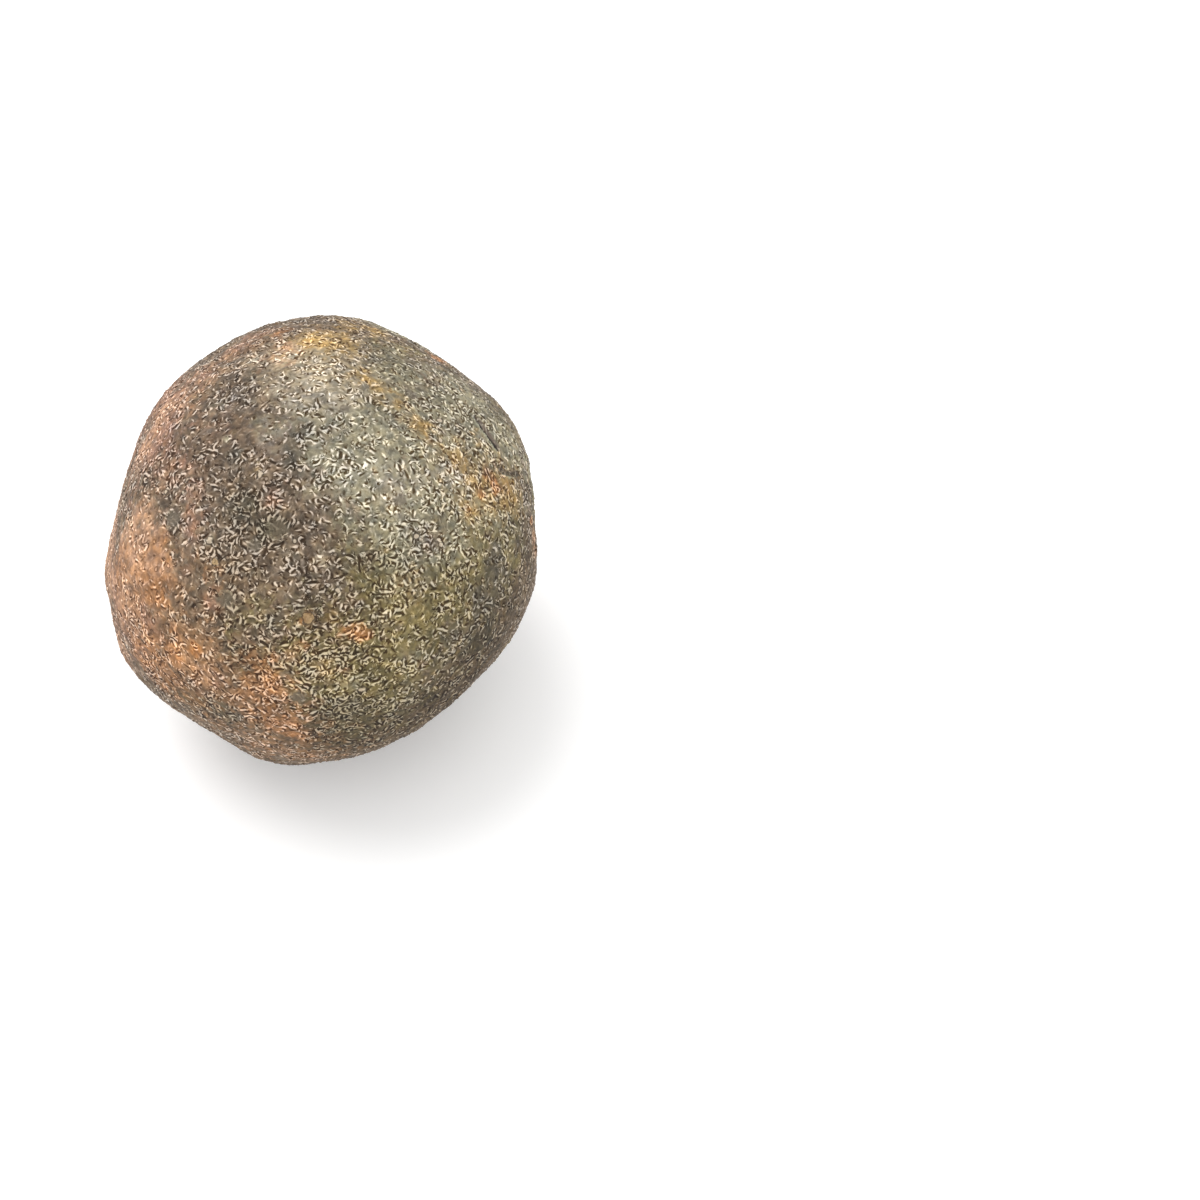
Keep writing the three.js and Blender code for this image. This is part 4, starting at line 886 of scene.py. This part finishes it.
# the lowest part of the stone is darker: painted shade near the floor
height = tree.nodes.new("ShaderNodeSeparateXYZ")
plug(place, height.inputs[0])
foot_shade = ramp(calc("MULTIPLY_ADD", cloud(3.0, 2.0), 4 * MM, calc("SUBTRACT", height.outputs["Z"], 2 * MM)), 12.5 * MM, 5 * MM)
colour = mix(foot_shade, colour, mix(1.0, colour, (0.6, 0.62, 0.65), "MULTIPLY"))
tone, warm = value_of("tone"), value_of("warm")
colour = mix(ramp(warm, 0.0, 1.2), colour, mix(1.0, colour, (1.03, 1.0, 0.915), "MULTIPLY"))
colour = mix(ramp(calc("MULTIPLY", warm, -1.0), 0.0, 1.2), colour, mix(1.0, colour, (0.95, 1.0, 1.18), "MULTIPLY"))
# darker where tone is positive: painted shade low on the front and on the right, broad darker colour elsewhere
colour = mix(ramp(tone, 0.0, 1.0), colour, mix(1.0, colour, (0.68, 0.66, 0.56), "MULTIPLY"))
colour = mix(ramp(calc("MULTIPLY", tone, -1.0), 0.0, 1.0), colour, mix(1.0, colour, (1.36, 1.34, 1.31), "MULTIPLY"))
# painted shade in the valleys between grains
crevice_shade = calc("MULTIPLY", value_of("valley"), 0.15)
colour = mix(crevice_shade, colour, mix(1.0, colour, (0.3, 0.28, 0.27), "MULTIPLY"))
plug(colour, shader.inputs["Base Color"])

rough_value = calc("SUBTRACT", 0.86, calc("MULTIPLY", light, 0.2))
plug(rough_value, shader.inputs["Roughness"])
shader.inputs["Specular IOR Level"].default_value = 0.4

# the strokes stand up a little: the slope of the wave tips the surface to and fro along its own direction
def vector(kind, a, b=None, scale=None):
    node = tree.nodes.new("ShaderNodeVectorMath")
    node.operation = kind
    for socket, x in ((node.inputs[0], a), (node.inputs[1], b)):
        if x is not None:
            tree.links.new(x, socket)
    if scale is not None:
        plug(scale, node.inputs["Scale"])
    return node.outputs[0]


turn = calc("COSINE", calc("MULTIPLY", gabor.outputs["Phase"], 2 * math.pi))
slope = calc("MULTIPLY", calc("MULTIPLY", calc("MULTIPLY", gabor.outputs["Intensity"], turn), strong), 6.0 * STROKE_SLOPE)
tipped = vector("NORMALIZE", vector("ADD", normal, vector("SCALE", vector("NORMALIZE", along.outputs[0]), scale=slope)))

bump = tree.nodes.new("ShaderNodeBump")
tree.links.new(tipped, bump.inputs["Normal"])
bump.inputs["Strength"].default_value = 0.6
bump.inputs["Distance"].default_value = 0.05 * MM
plug(cloud(0.17, 1.0), bump.inputs["Height"])
tree.links.new(bump.outputs["Normal"], shader.inputs["Normal"])
mesh.materials.append(skin)

# ---------------------------------------------------------------------------------------------
# Camera, floor, light
# ---------------------------------------------------------------------------------------------
scene = bpy.context.scene
LENS, SENSOR, PICTURE = 80.0, 36.0, 1200
LOOKING_DOWN = math.radians(52.0)
SEEN_AT = (320.0, 540.0)  # where the stone's heart shows in the picture
PIXELS = 443.0  # how wide the stone shows, for 38 mm
focal = PICTURE * LENS / SENSOR
away = 38.0 * MM / PIXELS * focal
forward = np.array([0, math.cos(LOOKING_DOWN), -math.sin(LOOKING_DOWN)])
upward = np.array([0, math.sin(LOOKING_DOWN), math.cos(LOOKING_DOWN)])
aside = np.array([1.0, 0, 0])
half_side = PICTURE / 2
eye = HEART * MM - away * (
    forward + (SEEN_AT[0] - half_side) / focal * aside + (half_side - SEEN_AT[1]) / focal * upward
)
camera = bpy.data.objects.new("camera", bpy.data.cameras.new("camera"))
camera.data.lens = LENS
camera.data.sensor_width = SENSOR
camera.data.clip_start, camera.data.clip_end = 0.01, 20
camera.location = eye
camera.rotation_euler = (math.pi / 2 - LOOKING_DOWN, 0, 0)
scene.collection.objects.link(camera)
scene.camera = camera

floor_mesh = bpy.data.meshes.new("floor")
side = 6.0
floor_mesh.from_pydata([(-side, -side, 0), (side, -side, 0), (side, side, 0), (-side, side, 0)], [], [(0, 1, 2, 3)])
floor = bpy.data.objects.new("floor", floor_mesh)
floor.location.z = 0
scene.collection.objects.link(floor)
paper = bpy.data.materials.new("paper")
paper.use_nodes = True
paper_shader = next(n for n in paper.node_tree.nodes if n.type == "BSDF_PRINCIPLED")
paper_shader.inputs["Base Color"].default_value = (0.95, 0.95, 0.95, 1)
paper_shader.inputs["Roughness"].default_value = 0.9
paper_shader.inputs["Emission Color"].default_value = (1, 1, 1, 1)
paper_shader.inputs["Emission Strength"].default_value = 0.16
paper_shader.inputs["Specular IOR Level"].default_value = 0.1
floor_mesh.materials.append(paper)

world = bpy.data.worlds.new("studio")
scene.world = world
world.use_nodes = True
sky = next(n for n in world.node_tree.nodes if n.type == "BACKGROUND")
sky.inputs["Color"].default_value = (1, 1, 1, 1)
sky.inputs["Strength"].default_value = 1.0


def softbox(name, where, size, power, tint=(1, 1, 1)):
    data = bpy.data.lights.new(name, "AREA")
    data.shape = "DISK"
    data.size = size
    data.energy = power
    data.color = tint
    lamp = bpy.data.objects.new(name, data)
    lamp.location = where
    lamp.rotation_mode = "QUATERNION"
    lamp.rotation_quaternion = (Vector((0, 0, 0.018)) - Vector(where)).to_track_quat("-Z", "Y")
    scene.collection.objects.link(lamp)
    return lamp


softbox("key", (-0.35, 0.25, 0.9), 0.8, 5.5)

scene.view_settings.view_transform = "Standard"
scene.view_settings.look = "None"
